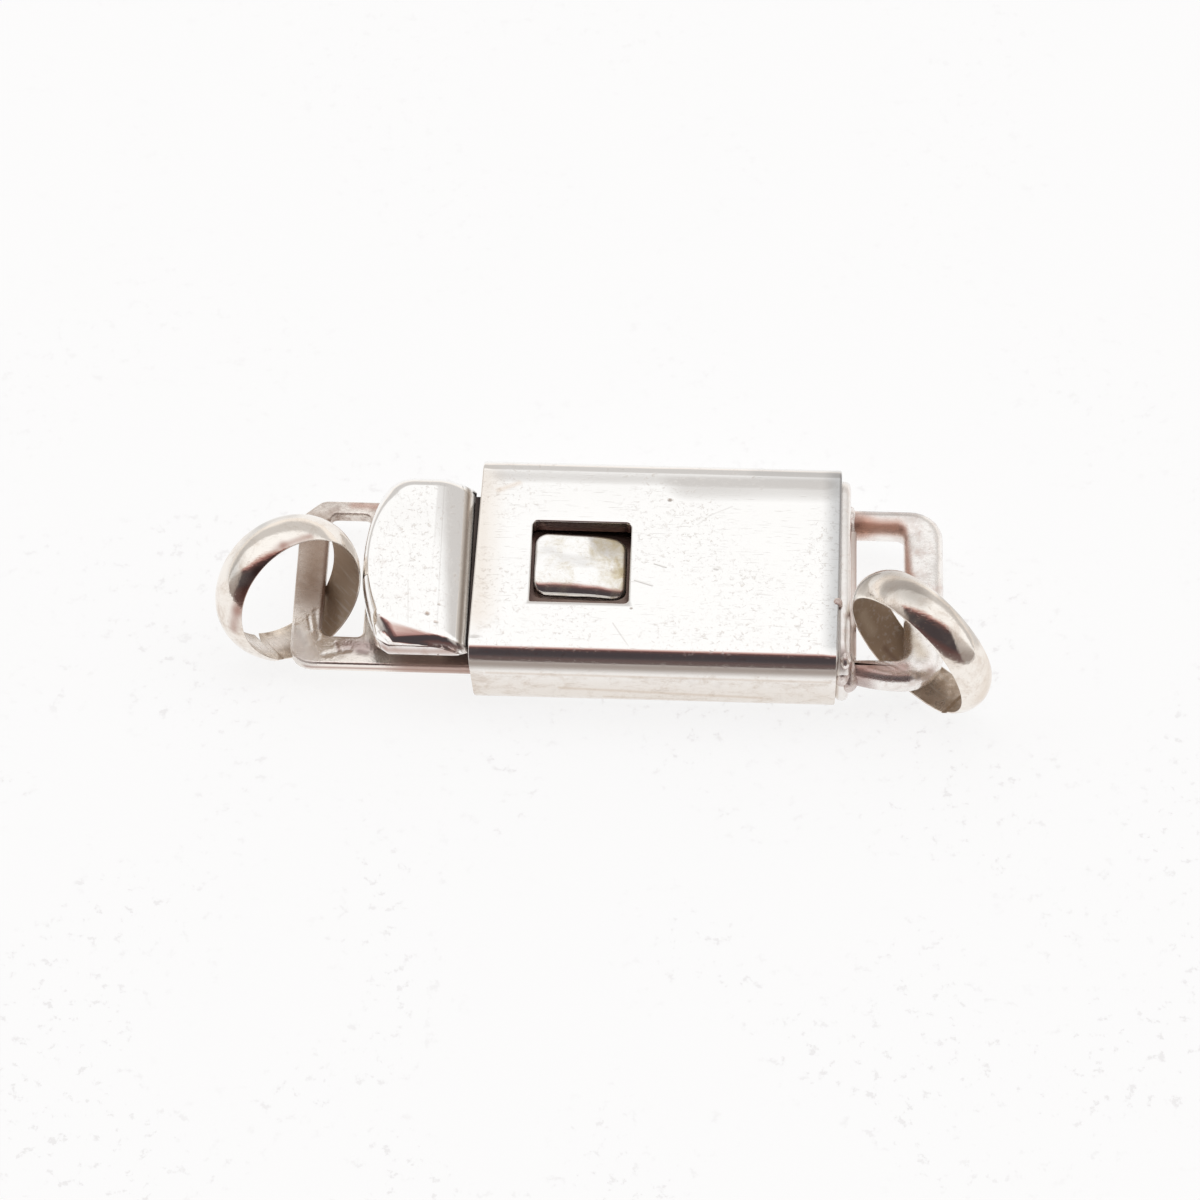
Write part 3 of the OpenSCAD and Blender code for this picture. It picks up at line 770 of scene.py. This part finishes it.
# %% Tongue silver
tongue_silver = silver(
    "tongue_silver", clean=(0.94, 0.88, 0.82), film=(0.37, 0.255, 0.20), level=0.48, corner=0.5, scale=1.5,
    polish=0.24, haze=0.18, few=0.6, waves=0.05, wave_size=0.6, grain=0.014, worn=0.5, dull=0.75,
    # The film thins toward the front-left corner, which with the near-white mark below is a painted
    # highlight.
    slopes=[((-10.2, 0, 1.1), (-10.9, -1.6, 1.1), -0.16), ((-10.0, -1.4, 1.1), (-10.7, -2.5, 1.1), -0.30)],
    marks=[((-10.85, -2.2, 1.1), (-10.5, -3.0, 1.1), 0.72, 0.92, 0.015, (0.97, 0.92, 0.87)),
           ((-10.8, -1.9, 1.1), (-10.5, -2.5, 1.1), 0.20, 0.5, 0.012, CLEAN),
           ((-10.3, -1.3, 1.1), (-10.15, -2.3, 1.1), 0.14, 0.6, 0.014, CLEAN),
           ((-10.5, -1.5, 1.1), (-10.4, -2.0, 1.1), 0.09, 0.6, 0.012, CLEAN),
           ((-9.9, -2.9, 1.1), (-9.2, -2.7, 1.1), 0.16, 0.4, 0.010, CLEAN),
           # Brown across the left end is painted shade under the ring; the dark line beside the eye is
           # painted shade on the bar's inner edge.
           ((-10.40, 1.6, 1.1), (-10.45, -0.6, 1.1), 1.30, 0.84, 0.0, (0.31, 0.195, 0.125)),
           ((-10.12, 2.2, 1.1), (-10.12, -1.9, 1.1), 0.12, 0.80, 0.0, (0.20, 0.11, 0.07)),
           ((-9.4, 2.8, 1.1), (-8.4, 2.75, 1.1), 0.25, 0.6, 0.0, (0.58, 0.32, 0.25)),
           ((-10.9, -3.23, 0.9), (-5.6, -3.23, 0.9), 0.10, 0.65, 0.0, (0.32, 0.15, 0.12)),
           ((-9.3, -2.5, 1.1), (-8.2, -2.6, 1.1), 0.50, 0.65, 0.0, (0.40, 0.26, 0.25)),
           ((-8.9, -2.75, 1.1), (-8.7, -2.80, 1.1), 0.18, 0.60, 0.008, (0.24, 0.15, 0.14)),
           ((-9.6, -2.45, 1.1), (-9.5, -2.75, 1.1), 0.10, 0.55, 0.010, (0.30, 0.18, 0.15)),
           # Matt pinkish brown on the arm under the tab is painted shade, in place of the dark reflection
           # there.
           ((-7.3, -3.1, 1.1), (-5.2, -3.1, 1.1), 1.10, 0.75, 0.0, (0.58, 0.36, 0.29))])
print("tongue silver ready")

# %% Tongue
TONGUE_X = (-10.985, 4.595)
TONGUE_Y = (-3.24, 2.96)
TONGUE_Z = (0.70, 1.10)
EYE_X = (-10.065, -8.825)
EYE_Y = (-2.18, 2.44)
CORNER_CUT = 0.636
FOLD_Z = 1.37
FOLD_TURN = math.radians(133)
FOLD_STEPS = 14
SEEN_X = -8.3
WORN_EDGE = 0.09


def left_end(edge):
    return min(edge.verts[0].co.x, edge.verts[1].co.x)


work = bmesh.new()
strip = [(TONGUE_X[0], TONGUE_Y[0]), (TONGUE_X[1], TONGUE_Y[0]), (TONGUE_X[1], TONGUE_Y[1]),
         (TONGUE_X[0] + CORNER_CUT, TONGUE_Y[1]), (TONGUE_X[0], TONGUE_Y[1] - CORNER_CUT)]
base = outline(work, [(x, y, TONGUE_Z[0]) for x, y in strip], [0.7, 0, 0, 0.2, 0.2])
thicken(work, base, (0, 0, TONGUE_Z[1] - TONGUE_Z[0]))
cut_hole(work, EYE_X, EYE_Y, TONGUE_Z, (0.25, 0.2, 0.2, 0.2), frame_w=0.2)
soften(work, WORN_EDGE, 4, only=lambda e: left_end(e) < SEEN_X)
end_faces = [f for f in work.faces if f.calc_center_median().x > TONGUE_X[1] - CLOSE]
bmesh.ops.spin(work, geom=end_faces, cent=(TONGUE_X[1], 0, FOLD_Z), axis=(0, -1, 0), angle=FOLD_TURN,
               steps=FOLD_STEPS, use_duplicate=False)
bmesh.ops.delete(work, geom=[f for f in end_faces if f.is_valid], context="FACES_ONLY")
bmesh.ops.delete(work, geom=[e for e in work.edges if not e.link_faces], context="EDGES")
soften(work, 0.03, 2, degrees=50, only=lambda e: left_end(e) > SEEN_X, clamp=True)
finish_piece("tongue_strip", work, tongue_silver, "tongue", "tongue")

# %% [markdown]
# ## Spring leaf, lug and thumb tab
# The top layer of the folded strip is the spring. It carries the lug that snaps into the window, and ends in
# a thumb tab outside the mouth. The leaf's side view is drawn once and given its width, and a round knuckle
# closes it into the fold.

# %% Spring leaf
KNUCKLE_R = 0.26
LEAF_Y = (-2.89, 2.61)
LEAF_T = 0.33
LEAF_FLAT = (-6.365, -5.415)
LEAF_MID_Z = 1.785
# The leaf is dark all over: partly the tarnish of an unpolished inner part, partly painted shade, as it lies
# inside the case.
leaf_silver = silver(
    "leaf_silver", clean=(0.26, 0.20, 0.17), film=(0.08, 0.05, 0.04), level=0.52, corner=0.6, scale=1.0,
    polish=0.20, few=0.58, grain=0.004, dull=0.5,
    # Near black across the leaf at the mouth is painted shadow in the gap under the tab.
    marks=[((-5.50, -3.0, 1.95), (-5.50, 3.0, 1.95), 0.36, 0.97, 0.0, GAP_SHADOW),
           # Dark marks round the lug are painted shade in the gaps of the window.
           ((-3.8, -1.2, 1.9), (-3.8, 0.9, 1.9), 0.35, 0.95, 0.0, GAP_SHADE),
           ((-3.7, 1.15, 1.9), (-0.9, 1.15, 1.8), 0.40, 0.95, 0.0, GAP_SHADE),
           ((-3.7, -1.5, 1.9), (-0.9, -1.5, 1.8), 0.55, 0.95, 0.0, GAP_SHADE),
           ((-0.8, -1.2, 1.8), (-0.8, 0.9, 1.8), 0.30, 0.95, 0.0, GAP_SHADE)])
work = bmesh.new()
leaf_way = [(LEAF_FLAT[0], LEAF_MID_Z), (LEAF_FLAT[1], LEAF_MID_Z), (TONGUE_X[1], FOLD_Z)]
side_view = [(x, LEAF_Y[0], z - LEAF_T / 2) for x, z in leaf_way]
side_view += [(x, LEAF_Y[0], z + LEAF_T / 2) for x, z in reversed(leaf_way)]
thicken(work, outline(work, side_view, [0] * 6), (0, LEAF_Y[1] - LEAF_Y[0], 0))
soften(work, 0.05, 3)
knuckle = bmesh.ops.create_cone(work, cap_ends=True, segments=32, radius1=KNUCKLE_R, radius2=KNUCKLE_R,
                                depth=LEAF_Y[1] - LEAF_Y[0])["verts"]
bmesh.ops.rotate(work, verts=knuckle, cent=(0, 0, 0), matrix=Matrix.Rotation(math.pi / 2, 3, "X"))
bmesh.ops.translate(work, verts=knuckle, vec=(TONGUE_X[1], sum(LEAF_Y) / 2, FOLD_Z))
finish_piece("spring_leaf", work, leaf_silver, "catch", "catch_leaf")

# %% Lug
LUG_X = (-3.735, -0.935)
LUG_Y = (-1.17, 1.02)
LUG_TOPS = (2.32, 2.24, 2.02)
LUG_FEET = (1.6, 1.5)
LUG_BEND_X = -1.835
LUG_CORNER_R = 0.42
LUG_EDGE_R = 0.12
LUG_ROLL = (0.95, 0.50)
LUG_ROLL_TURN = 1.32
LUG_ROLL_STEPS = 14
LUG_ROLL_FROM = 0.93
# The film that grows toward the lug's sloping end is painted shade, as that end tilts down.
lug_silver = silver(
    "lug_silver", film=(0.66, 0.56, 0.36), level=0.40, corner=0.2, scale=1.6, polish=0.10, waves=0.05,
    wave_size=0.9, worn=0.6, slopes=[((-2.5, 0, 0), (-1.0, 0.5, 0), 0.26)],
    # Near black along the foot of the front wall is painted shade.
    marks=[((-3.7, -1.20, 1.76), (-0.9, -1.20, 1.62), 0.24, 0.96, 0.0, (0.14, 0.06, 0.05)),
           ((-2.45, -1.22, 2.1), (-2.15, -0.75, 2.26), 0.05, 0.9, 0.006, (0.85, 0.78, 0.55)),
           ((-3.2, -0.5, 2.3), (-2.9, -0.7, 2.28), 0.05, 0.3, 0.004, LINE)])
work = bmesh.new()
lug_view = [
    (LUG_X[0], LUG_Y[0], LUG_FEET[0]), (LUG_X[1], LUG_Y[0], LUG_FEET[1]), (LUG_X[1], LUG_Y[0], LUG_TOPS[2]),
    (LUG_BEND_X, LUG_Y[0], LUG_TOPS[1]), (LUG_X[0], LUG_Y[0], LUG_TOPS[0])]
thicken(work, outline(work, lug_view, [0, 0, 0, 0.35, 0], 4), (0, LUG_Y[1] - LUG_Y[0], 0))
soften(work, LUG_CORNER_R, 8, only=lambda e: abs(e.verts[0].co.z - e.verts[1].co.z) > 0.3)
soften(work, LUG_EDGE_R, 5, only=lambda e: middle_of(e).z > 1.9)
roll = []
for i in range(LUG_ROLL_STEPS + 1):
    swing = i / LUG_ROLL_STEPS * LUG_ROLL_TURN
    roll.append((LUG_ROLL[0] * math.sin(swing), LUG_ROLL[1] * (1 - math.cos(swing))))
press_down(work, (0, LUG_Y[0] + LUG_ROLL_FROM, 0), (0, -1, 0), roll, above=1.7)
finish_piece("catch_lug", work, lug_silver, "catch", "catch_leaf", crease=60)

# %% [markdown]
# The thumb tab is sheet pressed over a former, so it is a shallow cap: its edges roll down all round, its
# outer end is a shallow curve, and its inner end slopes to the leaf. A flat outline is cut to the curved plan
# by straight cuts laid round the curve, given the cap's depth, and its upper rim is rolled over with one wide
# bevel. Its front left corner is one straight cut, which makes a facet.

# %% Thumb tab outline
TAB_X = (-8.915, -5.615)
TAB_Y = (-3.34, 3.06)
TAB_TOP = 2.50
TAB_LOW = 1.80
ROLL_R = 0.52
PLAN_R = 6.8
PLAN_CORNER_R = 1.05
PLAN_CUTS = 9
SLOPE_X = -6.80
SLOPE_END_Z = 1.95
TAB_SHEET = 0.22
LEFT_ROLL = 0.45
FRONT_ROLL = 0.6
FACET_TURN = math.radians(38)
work = bmesh.new()
tab_mid_y = sum(TAB_Y) / 2
outline(work, flat_corners((TAB_X[0], TAB_X[1] + 1), TAB_Y, TAB_TOP), [0] * 4)
plan_mid = Vector((TAB_X[0] + PLAN_R, tab_mid_y, 0))
widest = math.asin((TAB_Y[1] - tab_mid_y - PLAN_CORNER_R) / (PLAN_R - PLAN_CORNER_R))
for i in range(-PLAN_CUTS, PLAN_CUTS + 1):
    swing = widest * i / PLAN_CUTS
    out = Vector((-math.cos(swing), math.sin(swing), 0))
    slice_at(work, plan_mid + out * PLAN_R, out, drop=True)
front = plan_mid + Vector((-math.cos(widest), -math.sin(widest), 0)) * (PLAN_R - PLAN_CORNER_R)
facet = Vector((-math.cos(FACET_TURN), -math.sin(FACET_TURN), 0))
slice_at(work, front + facet * PLAN_CORNER_R, facet, drop=True)
back = plan_mid + Vector((-math.cos(widest), math.sin(widest), 0)) * (PLAN_R - PLAN_CORNER_R)
for i in range(1, PLAN_CUTS):
    swing = widest + (math.pi / 2 - widest) * i / PLAN_CUTS
    out = Vector((-math.cos(swing), math.sin(swing), 0))
    slice_at(work, back + out * PLAN_CORNER_R, out, drop=True)
print("tab outline cut,", len(work.verts), "corners")

# %% Tab silver
tab_silver = silver(
    "tab_silver", film=(0.60, 0.47, 0.39), level=0.27, corner=0.4, scale=1.5, polish=0.09, few=0.61,
    waves=0.022, wave_size=0.4, turn=(0, 0, 1.45),
    slopes=[((0, -2.9, 2.4), (0, -3.3, 2.0), 0.16), ((0, 2.2, 2.5), (0, 3.0, 2.2), 0.06)],
    marks=[((-6.84, -2.30, 2.5), (-6.82, -2.31, 2.5), 0.10, 0.7, 0.010, (0.45, 0.28, 0.18)),
           ((-6.50, -1.92, 2.5), (-6.47, -1.93, 2.5), 0.08, 0.7, 0.008, (0.45, 0.28, 0.18)),
           ((-6.58, -2.59, 2.5), (-6.50, -2.60, 2.5), 0.08, 0.6, 0.008, (0.45, 0.28, 0.18)),
           ((-7.47, -1.08, 2.5), (-7.37, -2.95, 2.5), 0.035, 0.35, 0.003, LINE),
           ((-6.50, -0.67, 2.5), (-6.13, -0.96, 2.4), 0.05, 0.3, 0.003, LINE),
           ((-6.52, -2.7, 2.45), (-6.56, 2.6, 2.45), 0.04, 0.40, 0.003, (0.62, 0.60, 0.57)),
           ((-6.02, -3.0, 2.2), (-6.02, 2.8, 2.2), 0.05, 0.64, 0.0, (0.30, 0.27, 0.25)),
           ((-5.84, -3.1, 2.1), (-5.84, 2.9, 2.1), 0.16, 0.88, 0.0, (0.30, 0.24, 0.19)),
           ((-8.3, -3.27, 1.98), (-6.0, -3.27, 1.98), 0.24, 0.85, 0.0, (0.50, 0.33, 0.28)),
           ((-8.62, -2.3, 2.0), (-8.32, -3.2, 1.95), 0.14, 0.80, 0.0, (0.34, 0.22, 0.18)),
           # Near black along the tab's end at the mouth is painted shadow in the gap.
           ((-5.63, -3.1, 1.98), (-5.63, 2.9, 1.98), 0.13, 0.97, 0.0, GAP_SHADOW),
           ((-7.49, 3.0, 2.4), (-7.45, 3.05, 2.3), 0.12, 0.6, 0.010, DARK_FILM)])
print("tab silver ready")

# %% Tab cap
CAP_DEEP = 1.6
SLOPE_CUTS = 18
SLOPE_CURVE = 1.9
ROLL_ZONE = ROLL_R + 0.03
thicken(work, work.faces[:], (0, 0, -CAP_DEEP))
lowest = [f for f in work.faces if f.calc_center_median().z < TAB_TOP - CAP_DEEP + 0.01]
bmesh.ops.delete(work, geom=lowest, context="FACES_ONLY")
soften(work, ROLL_R, 9, degrees=60, only=lambda e: middle_of(e).z > TAB_TOP - 0.01)
slice_at(work, (TAB_X[1] + 0.02, 0, 0), (1, 0, 0), drop=True)
for step in range(SLOPE_CUTS):
    slice_at(work, (SLOPE_X + (TAB_X[1] - SLOPE_X) * step / SLOPE_CUTS, 0, 0), (1, 0, 0))
print("tab cap", len(work.faces), "faces")

# %% [markdown]
# The rolled edge isn't the same all round. It is tighter along the outer end and along the front, so points
# near those edges are drawn outward. The front is then pressed lower along a slanting line, and the inner end
# is bent down to the leaf on a growing curve.

# %% Tab edges
FRONT_LINE = (-8.3, -2.24, 0)
FRONT_WAY = (-0.30, -1, 0)
FRONT_DROP = [(0, 0), (0.08, 0.006), (0.16, 0.023), (0.24, 0.050), (0.34, 0.092), (0.46, 0.144),
              (0.60, 0.205), (0.74, 0.267), (0.86, 0.322)]
for dot in work.verts:
    ray = dot.co.xy - plan_mid.xy
    inset = PLAN_R - ray.length
    swing = min(1.0, abs(math.atan2(ray.y, -ray.x)) / widest)
    if inset < ROLL_ZONE:
        ray *= (PLAN_R - inset * (LEFT_ROLL + (1 - LEFT_ROLL) * swing ** 4)) / ray.length
        dot.co.xy = plan_mid.xy + ray
for dot in work.verts:
    inset = dot.co.y - TAB_Y[0]
    if inset < ROLL_ZONE:
        dot.co.y = TAB_Y[0] + inset * FRONT_ROLL
press_down(work, FRONT_LINE, FRONT_WAY, FRONT_DROP, above=TAB_TOP - 0.3)
for dot in work.verts:
    along_slope = max(0.0, (dot.co.x - SLOPE_X) / (TAB_X[1] - SLOPE_X))
    dot.co.z -= (TAB_TOP - SLOPE_END_Z) * along_slope ** SLOPE_CURVE
slice_at(work, (0, 0, TAB_LOW), (0, 0, -1), drop=True)
print("tab edges pressed,", len(work.faces), "faces")

# %% Tab thickness
bmesh.ops.remove_doubles(work, verts=work.verts, dist=0.001)
bmesh.ops.recalc_face_normals(work, faces=work.faces)
work.normal_update()
if max(work.faces, key=lambda f: f.calc_area()).normal.z < 0:
    bmesh.ops.reverse_faces(work, faces=work.faces[:])
bmesh.ops.solidify(work, geom=work.faces[:], thickness=TAB_SHEET)
finish_piece("thumb_tab", work, tab_silver, "catch", "catch_leaf", crease=50)

# %% [markdown]
# ## Jump rings
# Each ring is half-round wire, flat inside and domed outside, bent round and cut, and it leans where it fell.
# One half-round section is spun almost all the way round, which leaves the real cut, and the finished ring is
# turned to its lean and heading and set down on the paper through its loop.

# %% Ring sizes and silver
RINGS = {
    "left_ring": dict(at=(-10.765, -1.734), in_r=2.02, width=1.6, thick=0.32, lean=14.7, heading=-54.3,
                      cut=6.0, cut_at=-32.0, body="tongue", step=0.10),
    "right_ring": dict(at=(8.145, -2.645), in_r=2.22, width=1.35, thick=0.32, lean=-8.8, heading=-133.7,
                       cut=5.0, cut_at=40.0, body="case", step=0.05)}
# Painted reflections on the rings' domes: red-brown of the warm edge of the dark opening, grey of the strip
# low at the back.
RING_RED_REFLECTION = (0.36, 0.19, 0.15)
RING_GREY_REFLECTION = (0.40, 0.36, 0.32)
ring_silver = silver(
    "ring_silver", clean=(0.93, 0.88, 0.82), film=(0.60, 0.46, 0.35), level=0.43, corner=0.3, scale=1.0,
    polish=0.055, haze=0.16, few=0.60, waves=0.05, wave_size=0.9, grain=0.005, worn=0.5,
    # Red-brown band along the left ring's inner edge: painted reflection.
    marks=[((-12.43, -2.87, 3.14), (-12.18, -2.61, 3.70), 0.34, 0.65, 0.0, RING_RED_REFLECTION),
           ((-12.18, -2.61, 3.70), (-11.83, -2.20, 4.17), 0.30, 0.65, 0.0, RING_RED_REFLECTION),
           ((-11.83, -2.20, 4.17), (-11.10, -1.47, 4.53), 0.26, 0.62, 0.0, RING_RED_REFLECTION),
           ((-11.10, -1.47, 4.53), (-10.33, -0.97, 4.38), 0.18, 0.60, 0.0, RING_RED_REFLECTION),
           ((-12.60, -3.05, 2.40), (-12.43, -2.87, 3.14), 0.30, 0.60, 0.0, RING_RED_REFLECTION),
           # Grey patches on both domes: painted reflection.
           ((-12.58, -2.12, 3.88), (-11.81, -0.55, 4.31), 0.40, 0.62, 0.0, (0.48, 0.47, 0.45)),
           ((-11.81, -0.55, 4.31), (-10.90, -0.10, 4.30), 0.34, 0.50, 0.0, (0.52, 0.50, 0.47)),
           ((6.25, -1.87, 4.13), (6.74, -1.76, 4.42), 0.56, 0.62, 0.0, RING_GREY_REFLECTION),
           ((6.74, -1.76, 4.42), (7.59, -2.91, 5.03), 0.60, 0.62, 0.0, RING_GREY_REFLECTION),
           ((8.45, -3.00, 4.89), (9.41, -3.96, 4.11), 0.36, 0.55, 0.0, RING_GREY_REFLECTION),
           ((6.80, -2.62, 4.76), (7.80, -3.25, 5.02), 0.45, 0.55, 0.0, RING_GREY_REFLECTION),
           ((9.81, -3.94, 3.34), (9.71, -4.66, 2.25), 0.60, 0.64, 0.0, (0.72, 0.60, 0.49))])
ring_inside = silver(
    "ring_inside", clean=(0.86, 0.77, 0.67), film=(0.38, 0.28, 0.195), level=0.27, corner=0.2, scale=2.0,
    polish=0.18, haze=0.15, few=0.56, fine=9.0, turn=(0, 0.3, 0.9), waves=0.06, wave_size=0.9, grain=0.012,
    dull=0.75, slopes=[((-11.4, 0, 1), (-9.9, 0, 1), 0.38), ((8.6, -2.0, 0.5), (6.3, -2.2, 1.5), 0.30)],
    marks=[((-12.0, -2.6, 1.0), (-11.3, -1.9, 0.4), 0.60, 0.95, 0.0, (0.98, 0.92, 0.86)),
           ((6.2, -1.55, 2.0), (6.5, -1.62, 1.3), 0.30, 0.50, 0.0, (0.60, 0.50, 0.38)),
           ((6.9, -1.9, 0.8), (7.3, -2.2, 0.5), 0.16, 0.64, 0.01, (0.22, 0.14, 0.10)),
           ((8.0, -3.1, 0.3), (8.5, -3.5, 0.5), 0.26, 0.55, 0.0, (0.62, 0.51, 0.42))])
print("ring silver ready")

# %% [markdown]
# One function bends a ring's wire: it draws the half-round section, softens its two corners, spins it to the
# cut, and lets the wire's last stretch step aside, as the ends of a real ring do. Faces on the flat inside
# and on the two cut ends get the second material, which is the browner one.

# %% Ring wire
CROWN_STEPS = 8
SPIN_STEPS = 150
WIRE_CORNER = 0.06
CUT_EDGE_R = 0.035
STEP_ASIDE = math.radians(35)
CUT_FACE = 0.02
INSIDE_FACE = 0.004


def turned_by(place):
    return math.atan2(place.y, place.x) % (2 * math.pi)


def bend_wire(work, ring, dome_r, sweep):
    reach = math.asin(ring["width"] / 2 / dome_r)
    crown = []
    for i in range(-CROWN_STEPS, CROWN_STEPS + 1):
        swing = reach * i / CROWN_STEPS
        out = dome_r * math.cos(swing) - dome_r + ring["thick"] + ring["in_r"]
        crown.append(work.verts.new((out, 0, dome_r * math.sin(swing))))
    work.faces.new(crown)
    bmesh.ops.bevel(work, geom=[crown[0], crown[-1]], offset=WIRE_CORNER, offset_type="OFFSET",
                    affect="VERTICES", segments=3, profile=0.5, material=-1)
    bmesh.ops.spin(work, geom=work.faces[:], cent=(0, 0, 0), axis=(0, 0, 1), angle=sweep, steps=SPIN_STEPS,
                   use_duplicate=False)
    for dot in work.verts:
        turned = turned_by(dot.co)
        near_end = max(0.0, 1.0 - (sweep - turned) / STEP_ASIDE) if turned < sweep + 0.01 else 0.0
        dot.co.z += ring["step"] * near_end * near_end
    soften(work, CUT_EDGE_R, 2, degrees=60, clamp=True)
    for face in work.faces:
        turned = turned_by(face.calc_center_median())
        at_cut = turned > sweep - CUT_FACE or turned < CUT_FACE
        if at_cut or all(v.co.xy.length < ring["in_r"] + INSIDE_FACE for v in face.verts):
            face.material_index = 1


print("ring helper ready")

# %% Rings
for name, ring in RINGS.items():
    half, thick = ring["width"] / 2, ring["thick"]
    dome_r = (half * half + thick * thick) / (2 * thick)
    work = bmesh.new()
    bend_wire(work, ring, dome_r, math.radians(360 - ring["cut"]))
    lift = dome_r - (dome_r - thick) * math.cos(math.radians(ring["lean"]))
    swing = math.radians(ring["cut_at"] + ring["cut"] / 2)
    stand = (Matrix.Translation((*ring["at"], lift)) @ Matrix.Rotation(math.radians(ring["heading"]), 4, "Z")
             @ Matrix.Rotation(math.radians(90 - ring["lean"]), 4, "Y")
             @ Matrix.Translation((-ring["in_r"], 0, 0)) @ Matrix.Rotation(swing, 4, "Z"))
    bmesh.ops.transform(work, matrix=stand, verts=work.verts)
    made = finish_piece(name + "_wire", work, ring_silver, ring["body"], name, crease=60)
    made.data.materials.append(ring_inside)

# %% [markdown]
# ## Last step
# The clasp must be the size that the CAD says; the last cell only brings the scene up to date.

# %% Finish
bpy.context.view_layer.update()
